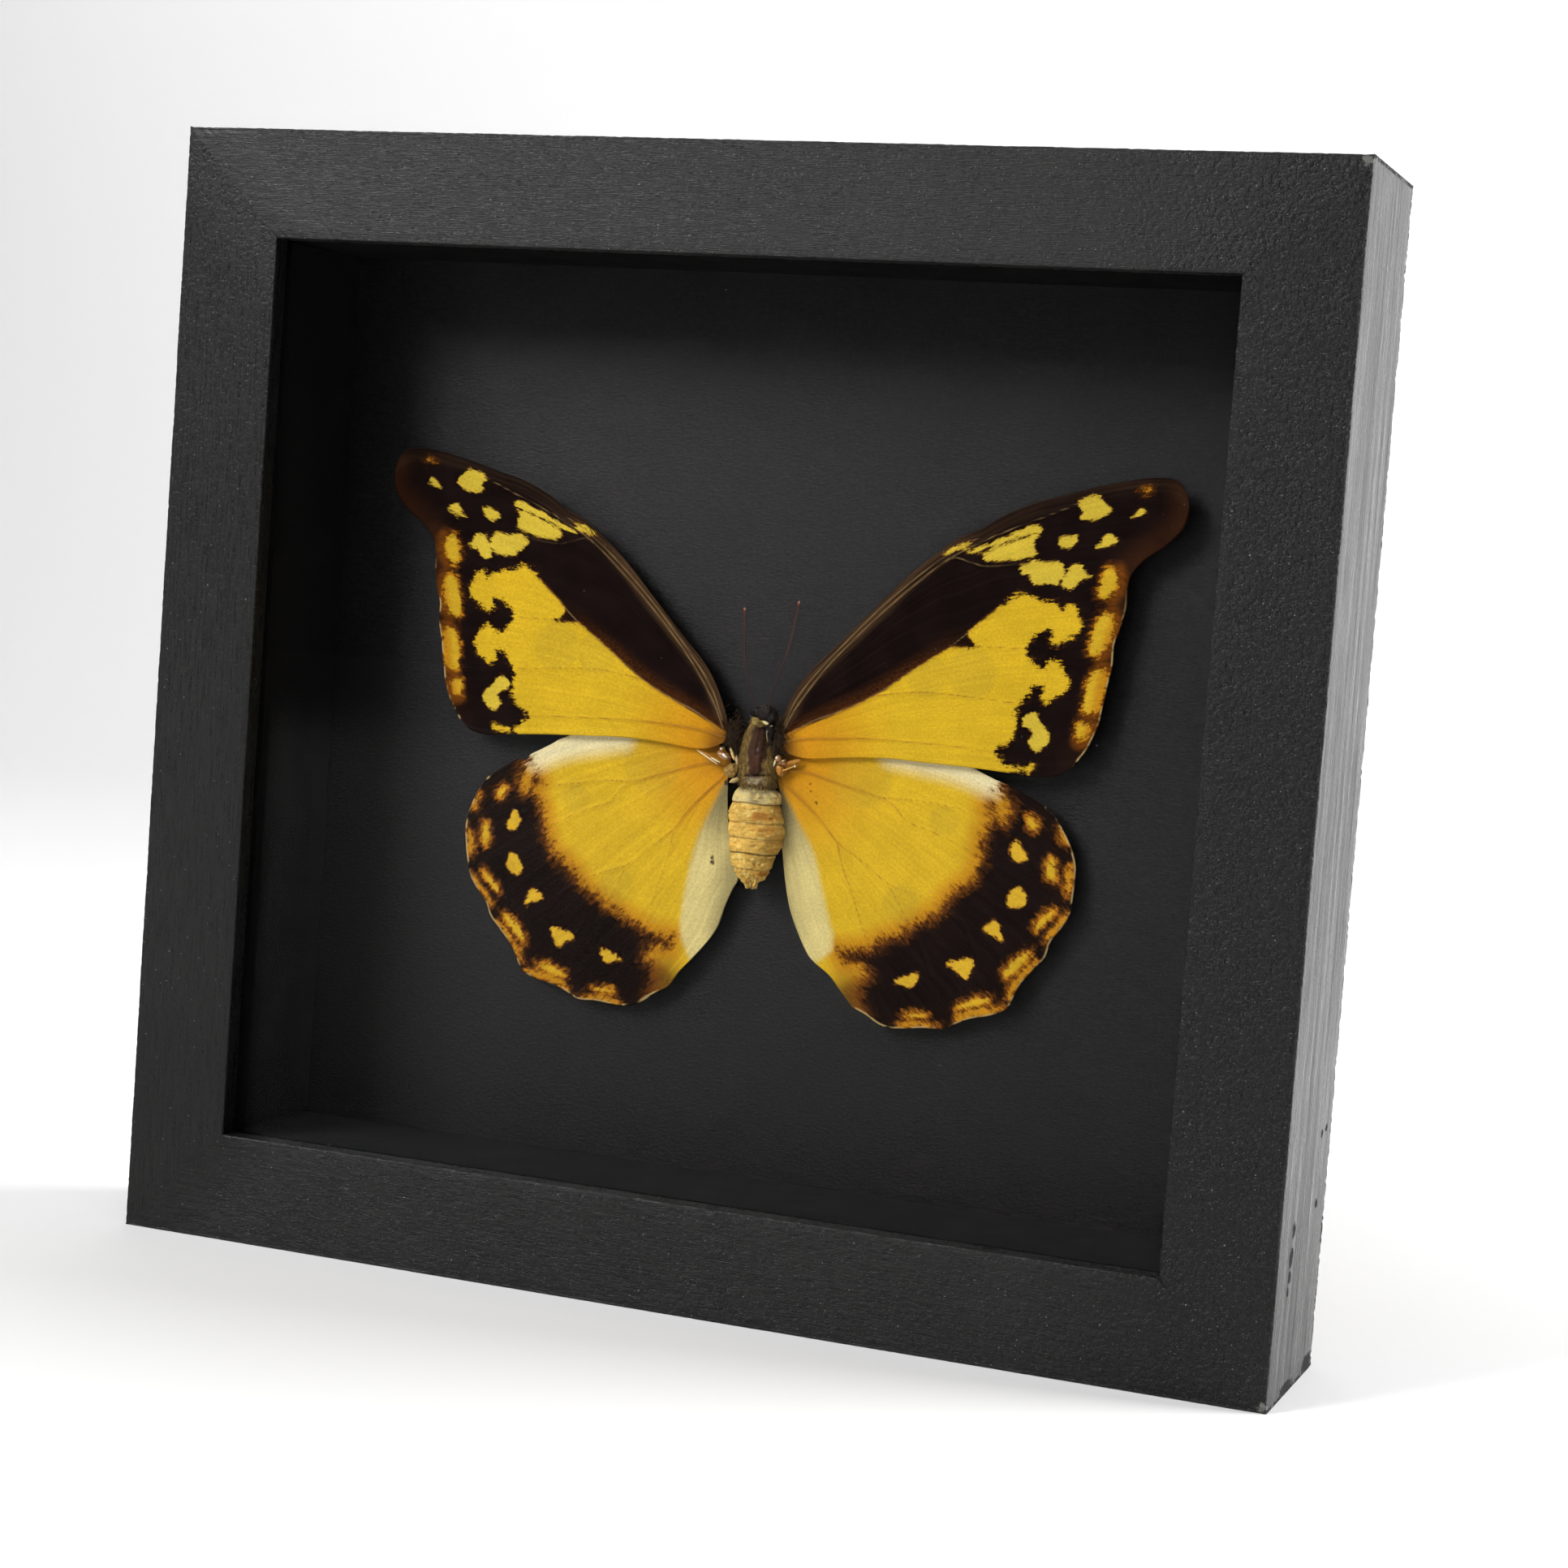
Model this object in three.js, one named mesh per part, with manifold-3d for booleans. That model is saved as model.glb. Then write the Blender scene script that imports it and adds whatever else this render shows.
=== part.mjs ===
// A spread butterfly fixed in a deep, glazed shadow-box frame that stands upright.
// Millimetres. +X is the viewer's right, +Y runs from the front face into the depth, +Z is up.
// The origin is the middle of the bounding box's underside, so the frame stands on Z = 0.

import * as THREE from "three";
import { mergeVertices } from "three/addons/utils/BufferGeometryUtils.js";
import Module from "manifold-3d";

const wasm = await Module();
wasm.setup();

// ---------------------------------------------------------------- driving dimensions

const TOUCH_GAP = 0.3; // left between pieces that touch

const FRAME_WIDTH = 200;
const FRAME_HEIGHT = 188;
const FRAME_DEPTH = 35;
const RAIL_FACE = 18.2; // width of a rail seen from the front
const LIP_DEPTH = 3.6; // thickness of the lip that holds the glass in
const REBATE = 5; // how far the lip overhangs the rebate behind it

const GLASS_THICKNESS = 2;
const SPACER_FRONT = 6.2; // depth of the spacers' front edge
const CARD_FRONT = 30.2; // depth of the card's face
const CARD_THICKNESS = 1.5;
const BOARD_THICKNESS = 2.1;

const TAB_LENGTH = 12;
const TAB_WIDTH = 6;
const TAB_THICKNESS = 0.4;

const HANGER_LENGTH = 44;
const HANGER_WIDTH = 9;
const HANGER_THICKNESS = 0.8;
const HANGER_RISE = 2; // how far its middle stands off the wood
const HANGER_TEETH = 9;
const TOOTH_PITCH = 2.4;
const TOOTH_HEIGHT = 1.5;
const NAIL_SPAN = 36; // between the two nails
const NAIL_RADIUS = 0.7;
const NAIL_LENGTH = 8;
const NAIL_HEAD_RADIUS = 1.9;
const NAIL_HEAD_THICKNESS = 0.7;

const WING_THICKNESS = 0.4;
const FOREWING_FRONT = 25.9; // depth of the forewings' upper face
const HINDWING_FRONT = 26.9; // the hindwings lie just behind them
const BODY_AXIS_DEPTH = 26;

// ---------------------------------------------------------------- derived places

const SIGHT_HALF_WIDTH = FRAME_WIDTH / 2 - RAIL_FACE;
const SIGHT_HALF_HEIGHT = FRAME_HEIGHT / 2 - RAIL_FACE;
const POCKET_HALF_WIDTH = SIGHT_HALF_WIDTH + REBATE - TOUCH_GAP;
const POCKET_HALF_HEIGHT = SIGHT_HALF_HEIGHT + REBATE - TOUCH_GAP;
const SPACER_THICKNESS = REBATE - TOUCH_GAP - 0.2; // its inner face is 0.2 behind the sight edge
const SPACER_DEPTH = CARD_FRONT - TOUCH_GAP - SPACER_FRONT;
const GLASS_FRONT = LIP_DEPTH + TOUCH_GAP;
const BOARD_FRONT = CARD_FRONT + CARD_THICKNESS + TOUCH_GAP;
const TAB_FRONT = BOARD_FRONT + BOARD_THICKNESS + TOUCH_GAP;
const HANGER_PROUD = TOUCH_GAP + HANGER_RISE + HANGER_THICKNESS;
const OVERALL_DEPTH = FRAME_DEPTH + HANGER_PROUD;
const HANGER_HEIGHT = FRAME_HEIGHT / 2 - (RAIL_FACE - REBATE) / 2; // above the frame's middle

// ---------------------------------------------------------------- materials

const finish = (color, roughness, metalness = 0) => () =>
  new THREE.MeshStandardMaterial({ color, roughness, metalness });

const paintedWood = finish(0x2b2c2b, 0.55);
const spacerBlack = finish(0x0c0c0c, 0.8);
const cardCharcoal = finish(0x232223, 0.95);
const fibreboard = finish(0x4a3826, 0.85);
const steel = finish(0xb0b0ac, 0.35, 1);
const gluedDab = finish(0xd8d0b8, 0.3);
const wingYellow = finish(0xe0b020, 0.7);
const hindwingYellow = finish(0xd9a823, 0.7);
const furBrown = finish(0x6b5a3c, 0.9);
const headBrown = finish(0x241a14, 0.5);
const abdomenTan = finish(0xc8a266, 0.85);
const antennaRed = finish(0x4a1712, 0.6);

function paneGlass() {
  const material = finish(0xffffff, 0.02)();
  material.transparent = true;
  material.opacity = 0.15;
  return material;
}

// ---------------------------------------------------------------- shape helpers

// A named mesh of a geometry.
function piece(name, geometry, material) {
  const mesh = new THREE.Mesh(geometry, material());
  mesh.name = name;
  return mesh;
}

// A plate: an outline drawn in X and Z, its front face at the given depth.
function plate(shape, front, thickness, curveSegments = 4) {
  const geometry = new THREE.ExtrudeGeometry(shape, {
    depth: thickness,
    bevelEnabled: false,
    curveSegments,
  });
  geometry.rotateX(Math.PI / 2);
  geometry.translate(0, front + thickness, 0);
  return geometry;
}

// An outline of straight lines through [x, z] points.
const polygon = (points) => new THREE.Shape(points.map(([x, z]) => new THREE.Vector2(x, z)));

// A rectangle's outline about (x, z).
function rectangle(x, z, halfWidth, halfHeight) {
  return polygon([
    [x - halfWidth, z - halfHeight],
    [x + halfWidth, z - halfHeight],
    [x + halfWidth, z + halfHeight],
    [x - halfWidth, z + halfHeight],
  ]);
}

// A box between two corners.
function bar([x0, y0, z0], [x1, y1, z1]) {
  const geometry = new THREE.BoxGeometry(x1 - x0, y1 - y0, z1 - z0);
  geometry.translate((x0 + x1) / 2, (y0 + y1) / 2, (z0 + z1) / 2);
  return geometry;
}

// A cylinder along Y between two depths.
function pegAlongY(radius, x, z, y0, y1, segments = 16) {
  const geometry = new THREE.CylinderGeometry(radius, radius, y1 - y0, segments);
  geometry.translate(x, (y0 + y1) / 2, z);
  return geometry;
}

// A three.js geometry as a solid that can be joined and cut.
function solidOf(geometry) {
  const bare = geometry.clone();
  bare.deleteAttribute("normal");
  bare.deleteAttribute("uv");
  const merged = mergeVertices(bare, 1e-4);
  return new wasm.Manifold(
    new wasm.Mesh({
      numProp: 3,
      vertProperties: merged.attributes.position.array,
      triVerts: new Uint32Array(merged.index.array),
    }),
  );
}

// A joined or cut solid as a three.js geometry again.
function geometryOf(solid) {
  const mesh = solid.getMesh();
  const geometry = new THREE.BufferGeometry();
  geometry.setAttribute("position", new THREE.BufferAttribute(mesh.vertProperties, 3));
  geometry.setIndex(new THREE.BufferAttribute(mesh.triVerts, 1));
  geometry.computeVertexNormals();
  return geometry;
}

const joined = (first, ...rest) =>
  geometryOf(rest.reduce((solid, next) => solid.add(solidOf(next)), solidOf(first)));
const cut = (first, ...rest) =>
  geometryOf(rest.reduce((solid, next) => solid.subtract(solidOf(next)), solidOf(first)));

// ---------------------------------------------------------------- frame rails

// A rail is L-shaped in section: a lip in front, and a wall behind it that leaves the rebate open.
// It is drawn as the bottom rail of a frame whose middle is the origin, with 45 degree ends.
function railGeometry(length, outerEdge) {
  const setback = TOUCH_GAP / Math.SQRT2;
  const mitred = (face) =>
    polygon([
      [-length / 2 + setback, outerEdge],
      [length / 2 - setback, outerEdge],
      [length / 2 - face - setback, outerEdge + face],
      [-length / 2 + face + setback, outerEdge + face],
    ]);
  const lip = plate(mitred(RAIL_FACE), 0, LIP_DEPTH);
  const wall = plate(mitred(RAIL_FACE - REBATE), 0, FRAME_DEPTH);
  return joined(lip, wall);
}

// The four rails; each is the bottom rail turned about the frame's middle.
function rails() {
  const group = new THREE.Group();
  const places = [
    ["rail_bottom", 0, FRAME_WIDTH, FRAME_HEIGHT],
    ["rail_right", -Math.PI / 2, FRAME_HEIGHT, FRAME_WIDTH],
    ["rail_top", Math.PI, FRAME_WIDTH, FRAME_HEIGHT],
    ["rail_left", Math.PI / 2, FRAME_HEIGHT, FRAME_WIDTH],
  ];
  for (const [name, turn, length, across] of places) {
    let geometry = railGeometry(length, -across / 2);
    if (name === "rail_top") geometry = cut(geometry, ...pilotHoles());
    const mesh = piece(name, geometry, paintedWood);
    mesh.rotation.y = turn;
    group.add(mesh);
  }
  return group;
}

// The holes for the hanger's nails, in the rail as it is drawn, before it is turned to the top.
function pilotHoles() {
  const radius = NAIL_RADIUS + TOUCH_GAP;
  const bottom = FRAME_DEPTH - NAIL_LENGTH - TOUCH_GAP;
  return [-1, 1].map((side) =>
    pegAlongY(radius, (side * NAIL_SPAN) / 2, -HANGER_HEIGHT, bottom, FRAME_DEPTH + 1),
  );
}

// ---------------------------------------------------------------- glass, spacers, card and board

// A rectangular sheet that fills the rebate.
function sheet(name, front, thickness, material) {
  const outline = rectangle(0, 0, POCKET_HALF_WIDTH, POCKET_HALF_HEIGHT);
  return piece(name, plate(outline, front, thickness), material);
}

// Four strips around the inside; the upright ones stand between the level ones.
function spacers() {
  const group = new THREE.Group();
  const back = SPACER_FRONT + SPACER_DEPTH;
  const innerHeight = POCKET_HALF_HEIGHT - SPACER_THICKNESS;
  const innerWidth = POCKET_HALF_WIDTH - SPACER_THICKNESS;
  const uprightHalf = innerHeight - TOUCH_GAP;
  const strips = {
    spacer_top: [-POCKET_HALF_WIDTH, innerHeight, POCKET_HALF_WIDTH, POCKET_HALF_HEIGHT],
    spacer_bottom: [-POCKET_HALF_WIDTH, -POCKET_HALF_HEIGHT, POCKET_HALF_WIDTH, -innerHeight],
    spacer_left: [-POCKET_HALF_WIDTH, -uprightHalf, -innerWidth, uprightHalf],
    spacer_right: [innerWidth, -uprightHalf, POCKET_HALF_WIDTH, uprightHalf],
  };
  for (const [name, [x0, z0, x1, z1]] of Object.entries(strips)) {
    group.add(piece(name, bar([x0, SPACER_FRONT, z0], [x1, back, z1]), spacerBlack));
  }
  return group;
}

// Two bendable tabs to a rail lie over the back board's edge.
function boardTabs() {
  const group = new THREE.Group();
  const alongLevel = FRAME_WIDTH / 4;
  const alongUpright = FRAME_HEIGHT / 4;
  const fromX = POCKET_HALF_WIDTH - TAB_LENGTH / 2;
  const fromZ = POCKET_HALF_HEIGHT - TAB_LENGTH / 2;
  const tabs = [
    [-alongLevel, fromZ, 1],
    [alongLevel, fromZ, 1],
    [-alongLevel, -fromZ, 1],
    [alongLevel, -fromZ, 1],
    [-fromX, alongUpright, 0],
    [-fromX, -alongUpright, 0],
    [fromX, alongUpright, 0],
    [fromX, -alongUpright, 0],
  ];
  tabs.forEach(([x, z, upright], index) => {
    const half = upright ? [TAB_WIDTH / 2, TAB_LENGTH / 2] : [TAB_LENGTH / 2, TAB_WIDTH / 2];
    const geometry = plate(rectangle(x, z, ...half), TAB_FRONT, TAB_THICKNESS);
    group.add(piece(`board_tab_${index + 1}`, geometry, steel));
  });
  return group;
}

// ---------------------------------------------------------------- sawtooth hanger

// A strip bent up off the wood between its two flat ends, with teeth along its lower edge.
function hanger() {
  const foot = FRAME_DEPTH + TOUCH_GAP;
  const end = HANGER_LENGTH / 2;
  const flatTo = 14; // where the flat ends stop
  const raisedTo = 12; // where the raised middle begins
  const side = polygon([
    [-end, 0],
    [-flatTo, 0],
    [-raisedTo, HANGER_RISE],
    [raisedTo, HANGER_RISE],
    [flatTo, 0],
    [end, 0],
    [end, HANGER_THICKNESS],
    [flatTo, HANGER_THICKNESS],
    [raisedTo, HANGER_RISE + HANGER_THICKNESS],
    [-raisedTo, HANGER_RISE + HANGER_THICKNESS],
    [-flatTo, HANGER_THICKNESS],
    [-end, HANGER_THICKNESS],
  ]);
  const strip = new THREE.ExtrudeGeometry(side, { depth: HANGER_WIDTH, bevelEnabled: false });
  strip.translate(0, foot, HANGER_HEIGHT - HANGER_WIDTH / 2);
  const holes = [-1, 1].map((way) =>
    pegAlongY(NAIL_RADIUS + TOUCH_GAP, (way * NAIL_SPAN) / 2, HANGER_HEIGHT, foot - 1, foot + 3),
  );
  return piece("sawtooth_hanger", cut(strip, toothCutter(), ...holes), steel);
}

// The comb that cuts the teeth: a row of notches under the strip's raised middle.
function toothCutter() {
  const low = HANGER_HEIGHT - HANGER_WIDTH / 2;
  const start = (-HANGER_TEETH * TOOTH_PITCH) / 2;
  const points = [[start, low - 1]];
  for (let tooth = 0; tooth < HANGER_TEETH; tooth++) {
    points.push([start + tooth * TOOTH_PITCH, low + 0.01]);
    points.push([start + (tooth + 0.5) * TOOTH_PITCH, low + TOOTH_HEIGHT]);
  }
  points.push([-start, low + 0.01], [-start, low - 1]);
  return plate(polygon(points.reverse()), FRAME_DEPTH + 1, HANGER_PROUD + 1);
}

// A nail through the hanger into the rail: its head, then its shank and point.
function nail(name, x) {
  const headFront = FRAME_DEPTH + TOUCH_GAP + HANGER_THICKNESS + TOUCH_GAP;
  const point = headFront - FRAME_DEPTH + NAIL_LENGTH;
  const profile = [
    [0, -point],
    [NAIL_RADIUS, -point + 1.5],
    [NAIL_RADIUS, 0],
    [NAIL_HEAD_RADIUS, 0],
    [NAIL_HEAD_RADIUS, NAIL_HEAD_THICKNESS * 0.6],
    [0, NAIL_HEAD_THICKNESS],
  ].map(([r, y]) => new THREE.Vector2(r, y));
  const mesh = piece(name, new THREE.LatheGeometry(profile, 16), steel);
  mesh.position.set(x, headFront, HANGER_HEIGHT);
  return mesh;
}

// ---------------------------------------------------------------- wings

// Outlines of the right wings, [x, z] from the frame's middle, the body lying along X = 0.
// Forewing: root, front edge, tip, hollow outer edge, rear corner, inner edge.
const FOREWING_OUTLINE = [
  [4.4, -1.2],
  [5.0, 2.6],
  [7.0, 7.5],
  [13, 14.8],
  [20, 22.2],
  [25, 27.5],
  [30, 31.9],
  [36.5, 36],
  [45, 40.6],
  [55, 43.8],
  [62, 45.5],
  [67.5, 45.8],
  [70.4, 43],
  [70.4, 39],
  [67.5, 35.2],
  [64, 32.6],
  [61.9, 28.8],
  [61.8, 25],
  [60.5, 19.4],
  [60.2, 14.5],
  [59.3, 9],
  [58.4, 4.8],
  [55.5, -0.8],
  [52, -3.1],
  [48, -3.5],
  [38, -2.9],
  [25, -2.7],
  [15, -3.3],
  [8, -3.7],
];

// Hindwing: root, front edge (under the forewing as far as its middle), scalloped outer edge.
const HINDWING_OUTLINE = [
  [5.2, -7.2],
  [5.6, -5],
  [12, -1.6],
  [20, -0.2],
  [30, -0.8],
  [38, -2.8],
  [45, -5.3],
  [51, -8.1],
  [55.2, -13.4],
  [56.7, -19.1],
  [56.3, -25],
  [53.6, -29.6],
  [51.4, -34.2],
  [48.3, -38.2],
  [46.9, -41.6],
  [41.5, -43.8],
  [37, -46.1],
  [31, -46.6],
  [26.5, -47.1],
  [20.5, -44.4],
];

// The hindwings' inner edges, from the rear corner up to the root. The right one is folded down
// beside the abdomen, and the left one is spread and passes close behind the abdomen's tip.
const RIGHT_INNER_EDGE = [
  [16, -39.6],
  [11.8, -36.4],
  [8.4, -29.5],
  [7.2, -23],
  [6.9, -17.5],
  [6.3, -12],
];
const LEFT_INNER_EDGE = [
  [-11, -42.3],
  [-7.1, -37.6],
  [-4.5, -33.3],
  [-3.2, -29.4],
  [-1.9, -25.6],
  [-3.6, -21.5],
  [-4.2, -17.5],
  [-4.2, -13],
  [-4.7, -9.5],
];

// How each left wing is set: its mirrored outline, drawn in a little and turned down.
// Rows: [x from x, x from z, shift] and [z from x, z from z, shift].
const LEFT_FOREWING_SET = [
  [0.975, 0.015, 0.8],
  [-0.041, 0.995, 0.25],
];
const LEFT_HINDWING_SET = [
  [0.957, 0.155, 1.4],
  [-0.092, 1.001, 0.6],
];

// The left wing's outline, run backwards so that it still goes round the same way.
function setLeft(outline, [[xx, xz, xShift], [zx, zz, zShift]]) {
  return outline
    .map(([x, z]) => [-(xx * x + xz * z + xShift), zx * x + zz * z + zShift])
    .reverse();
}

// A wing: one thin plate inside a smooth closed curve through its outline's points.
function wing(name, outline, front, material) {
  const points = outline.map(([x, z]) => new THREE.Vector3(x, z, 0));
  const curve = new THREE.CatmullRomCurve3(points, true, "centripetal");
  const stepsPerPoint = 3;
  const edge = curve.getPoints(points.length * stepsPerPoint).slice(0, -1);
  const shape = new THREE.Shape(edge.map((p) => new THREE.Vector2(p.x, p.y)));
  return piece(name, plate(shape, front, WING_THICKNESS), material);
}

function wings() {
  const group = new THREE.Group();
  const leftForewing = setLeft(FOREWING_OUTLINE, LEFT_FOREWING_SET);
  const rightHindwing = [...HINDWING_OUTLINE, ...RIGHT_INNER_EDGE];
  const leftHindwing = [
    ...[...LEFT_INNER_EDGE].reverse(),
    ...setLeft(HINDWING_OUTLINE, LEFT_HINDWING_SET),
  ];
  group.add(wing("forewing_right", FOREWING_OUTLINE, FOREWING_FRONT, wingYellow));
  group.add(wing("forewing_left", leftForewing, FOREWING_FRONT, wingYellow));
  group.add(wing("hindwing_right", rightHindwing, HINDWING_FRONT, hindwingYellow));
  group.add(wing("hindwing_left", leftHindwing, HINDWING_FRONT, hindwingYellow));
  return group;
}

// ---------------------------------------------------------------- body

// A body section: a smooth profile of [distance down, half width] turned about Z, then
// squeezed or deepened along Y by depthRatio.
function bodySection(name, profile, x, top, depthRatio, material) {
  const stations = profile.map(([down, half]) => new THREE.Vector2(half, -down));
  const curve = new THREE.SplineCurve(stations);
  const points = curve.getPoints(stations.length * 3).map((p) => new THREE.Vector2(Math.max(p.x, 0), p.y));
  points[0].x = 0;
  points[points.length - 1].x = 0;
  const geometry = new THREE.LatheGeometry(points.reverse(), 20);
  geometry.scale(1, 1, depthRatio);
  geometry.rotateX(Math.PI / 2);
  const mesh = piece(name, geometry, material);
  mesh.position.set(x, BODY_AXIS_DEPTH, top);
  return mesh;
}

const HEAD_PROFILE = [
  [0, 0],
  [0.4, 1.3],
  [1.4, 2.4],
  [2.3, 2],
  [2.8, 0],
];

const THORAX_PROFILE = [
  [0, 0],
  [0.5, 1.6],
  [2.5, 2.7],
  [5.5, 3],
  [8.5, 2.5],
  [10.4, 1.7],
  [10.9, 0],
];

const ABDOMEN_PROFILE = [
  [0, 0],
  [0.3, 3.2],
  [2.5, 4.1],
  [7.5, 4.7],
  [12, 3.8],
  [15.5, 1.9],
  [17, 0],
];

// A feeler: a thin tube along a gentle curve that ends in a small club.
function antenna(name, points) {
  const route = new THREE.CatmullRomCurve3(points.map((p) => new THREE.Vector3(...p)));
  const radius = 0.16;
  const sides = 8;
  const ring = [];
  for (let side = 0; side < sides; side++) {
    const angle = (side / sides) * 2 * Math.PI;
    ring.push(new THREE.Vector2(radius * Math.cos(angle), radius * Math.sin(angle)));
  }
  const stalk = new THREE.ExtrudeGeometry(new THREE.Shape(ring), { steps: 12, extrudePath: route });
  const club = new THREE.SphereGeometry(1, 10, 8);
  club.scale(0.3, 0.3, 0.9);
  club.translate(...points[points.length - 1]);
  return piece(name, joined(stalk, club), antennaRed);
}

function body() {
  const group = new THREE.Group();
  group.add(bodySection("head", HEAD_PROFILE, 2, 4.6, 1, headBrown));
  group.add(bodySection("thorax", THORAX_PROFILE, 0.7, 1.4, 1.07, furBrown));
  const abdomen = bodySection("abdomen", ABDOMEN_PROFILE, 1.1, -9.8, 0.78, abdomenTan);
  abdomen.rotation.y = THREE.MathUtils.degToRad(-1.5);
  group.add(abdomen);
  const feelers = {
    antenna_left: [
      [0.3, 24.2, 5.1],
      [-1.7, 24.6, 10],
      [-2.6, 25, 15],
      [-3.1, 25.2, 19.4],
    ],
    antenna_right: [
      [3.1, 24.2, 5.1],
      [4.3, 24.6, 10],
      [5.6, 25, 15.5],
      [6.5, 25.2, 21.2],
    ],
  };
  for (const [name, points] of Object.entries(feelers)) group.add(antenna(name, points));
  return group;
}

// The dab that holds the thorax to the card.
function gluePad() {
  const gapToCard = CARD_FRONT - TOUCH_GAP;
  return piece("glue_pad", pegAlongY(2.2, 0.7, -4, gapToCard - 0.35, gapToCard, 20), gluedDab);
}

// ---------------------------------------------------------------- assembly

// Everything is drawn about the middle of the front face, then stood on Z = 0 and centred in Y.
const specimen = new THREE.Group();
specimen.position.set(0, -OVERALL_DEPTH / 2, FRAME_HEIGHT / 2);
specimen.add(rails());
specimen.add(sheet("glass_pane", GLASS_FRONT, GLASS_THICKNESS, paneGlass));
specimen.add(spacers());
specimen.add(sheet("mount_card", CARD_FRONT, CARD_THICKNESS, cardCharcoal));
specimen.add(sheet("back_board", BOARD_FRONT, BOARD_THICKNESS, fibreboard));
specimen.add(boardTabs());
specimen.add(hanger());
specimen.add(nail("hanger_nail_left", -NAIL_SPAN / 2));
specimen.add(nail("hanger_nail_right", NAIL_SPAN / 2));
specimen.add(gluePad());
specimen.add(wings());
specimen.add(body());

const part = new THREE.Group();
part.name = "framed_butterfly";
part.add(specimen);

export default part;
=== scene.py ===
"""A spread butterfly inside a glazed, deep black shadow-box frame that stands upright.

The frame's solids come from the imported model. The rails, the wings and the body are replaced by
finer meshes, and the rest keeps its solids under better materials. Shapes are drawn in
millimetres as (x, depth, z): x to the viewer's right, depth back from the frame's front face and
z up from the frame's middle. `place` turns them into metres in the part's own frame.
"""

import logging
import math
from collections.abc import Sequence
from dataclasses import dataclass, field
from enum import Enum

import bpy
import numpy as np
from mathutils import Matrix, Vector


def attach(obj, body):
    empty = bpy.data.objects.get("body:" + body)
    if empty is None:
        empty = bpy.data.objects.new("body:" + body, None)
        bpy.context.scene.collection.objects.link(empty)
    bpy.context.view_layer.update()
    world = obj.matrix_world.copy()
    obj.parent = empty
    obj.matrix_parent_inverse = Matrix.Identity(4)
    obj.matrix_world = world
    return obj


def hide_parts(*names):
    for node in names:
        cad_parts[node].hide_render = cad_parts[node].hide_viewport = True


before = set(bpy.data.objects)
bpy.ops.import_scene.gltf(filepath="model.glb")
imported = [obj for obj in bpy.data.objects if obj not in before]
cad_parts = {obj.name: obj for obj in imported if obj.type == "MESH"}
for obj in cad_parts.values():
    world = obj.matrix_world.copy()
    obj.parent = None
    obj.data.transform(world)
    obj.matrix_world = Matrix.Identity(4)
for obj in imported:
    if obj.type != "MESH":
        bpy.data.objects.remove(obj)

log = logging.getLogger("butterfly_box")

Pair = tuple[float, float]
Triple = tuple[float, float, float]
Colour = Triple
Outline = Sequence[Pair]

METRES = 0.001


# ---------------------------------------------------------------- the box's measurements


@dataclass(frozen=True)
class BoxLayout:
    """The frame's measurements in millimetres.

    Attributes:
        width: Outer width.
        height: Outer height.
        depth: Depth of the rails, from the front face to the back.
        overall_depth: Depth with the hanger on the back.
        rail_face: Width of a rail seen from the front.
        lip: Thickness of the lip in front of the glass.
        rebate: How far the lip overhangs the rebate.
    """

    width: float = 200.0
    height: float = 188.0
    depth: float = 35.0
    overall_depth: float = 38.1
    rail_face: float = 18.2
    lip: float = 3.6
    rebate: float = 5.0


BOX = BoxLayout()


def place(points: np.ndarray) -> np.ndarray:
    """Turns (x, depth, z) in millimetres into the part's own frame, in metres."""
    shift = np.array([0.0, -BOX.overall_depth / 2, BOX.height / 2])
    return (np.asarray(points, float) + shift) * METRES


# ---------------------------------------------------------------- curves and smooth noise


def smooth_line(points: Outline, per_span: int = 8, closed: bool = False) -> np.ndarray:
    """A smooth curve through given points.

    Between two points it is a cubic whose slope at each point is half the step between that
    point's neighbours.

    Args:
        points: The points that the curve runs through.
        per_span: How many steps each span is cut into.
        closed: Whether the last point runs on to the first.
    """
    knots = np.asarray(points, float)
    if closed:
        before, after = np.roll(knots, 1, 0), np.roll(knots, -1, 0)
        further = np.roll(knots, -2, 0)
        start, end = knots, after
    else:
        padded = np.vstack([2 * knots[0] - knots[1], knots, 2 * knots[-1] - knots[-2]])
        before, start, end, further = padded[:-3], padded[1:-2], padded[2:-1], padded[3:]
    t = (np.arange(per_span) / per_span)[None, :, None]
    a, b, c, d = (row[:, None, :] for row in (before, start, end, further))
    curve = 0.5 * (2 * b + (c - a) * t + (2 * a - 5 * b + 4 * c - d) * t**2)
    curve += 0.5 * (3 * b - a - 3 * c + d) * t**3
    flat = curve.reshape(-1, knots.shape[1])
    return flat if closed else np.vstack([flat, knots[-1]])


def resample(line: np.ndarray, count: int) -> np.ndarray:
    """Spreads count points evenly along a line by length."""
    steps = np.linalg.norm(np.diff(line, axis=0), axis=1)
    length = np.concatenate([[0.0], np.cumsum(steps)])
    at = np.linspace(0.0, 1.0, count) * length[-1]
    return np.stack([np.interp(at, length, line[:, axis]) for axis in range(line.shape[1])], 1)


def line_distance(points: np.ndarray, line: np.ndarray) -> np.ndarray:
    """The distance from each point to a line: the least over its straight parts."""
    best = np.full(len(points), np.inf)
    for start, end in zip(line[:-1], line[1:]):
        step = end - start
        along = np.clip((points - start) @ step / max(step @ step, 1e-12), 0.0, 1.0)
        gap = points - start - along[:, None] * step
        best = np.minimum(best, np.einsum("ij,ij->i", gap, gap))
    return np.sqrt(best)


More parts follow.
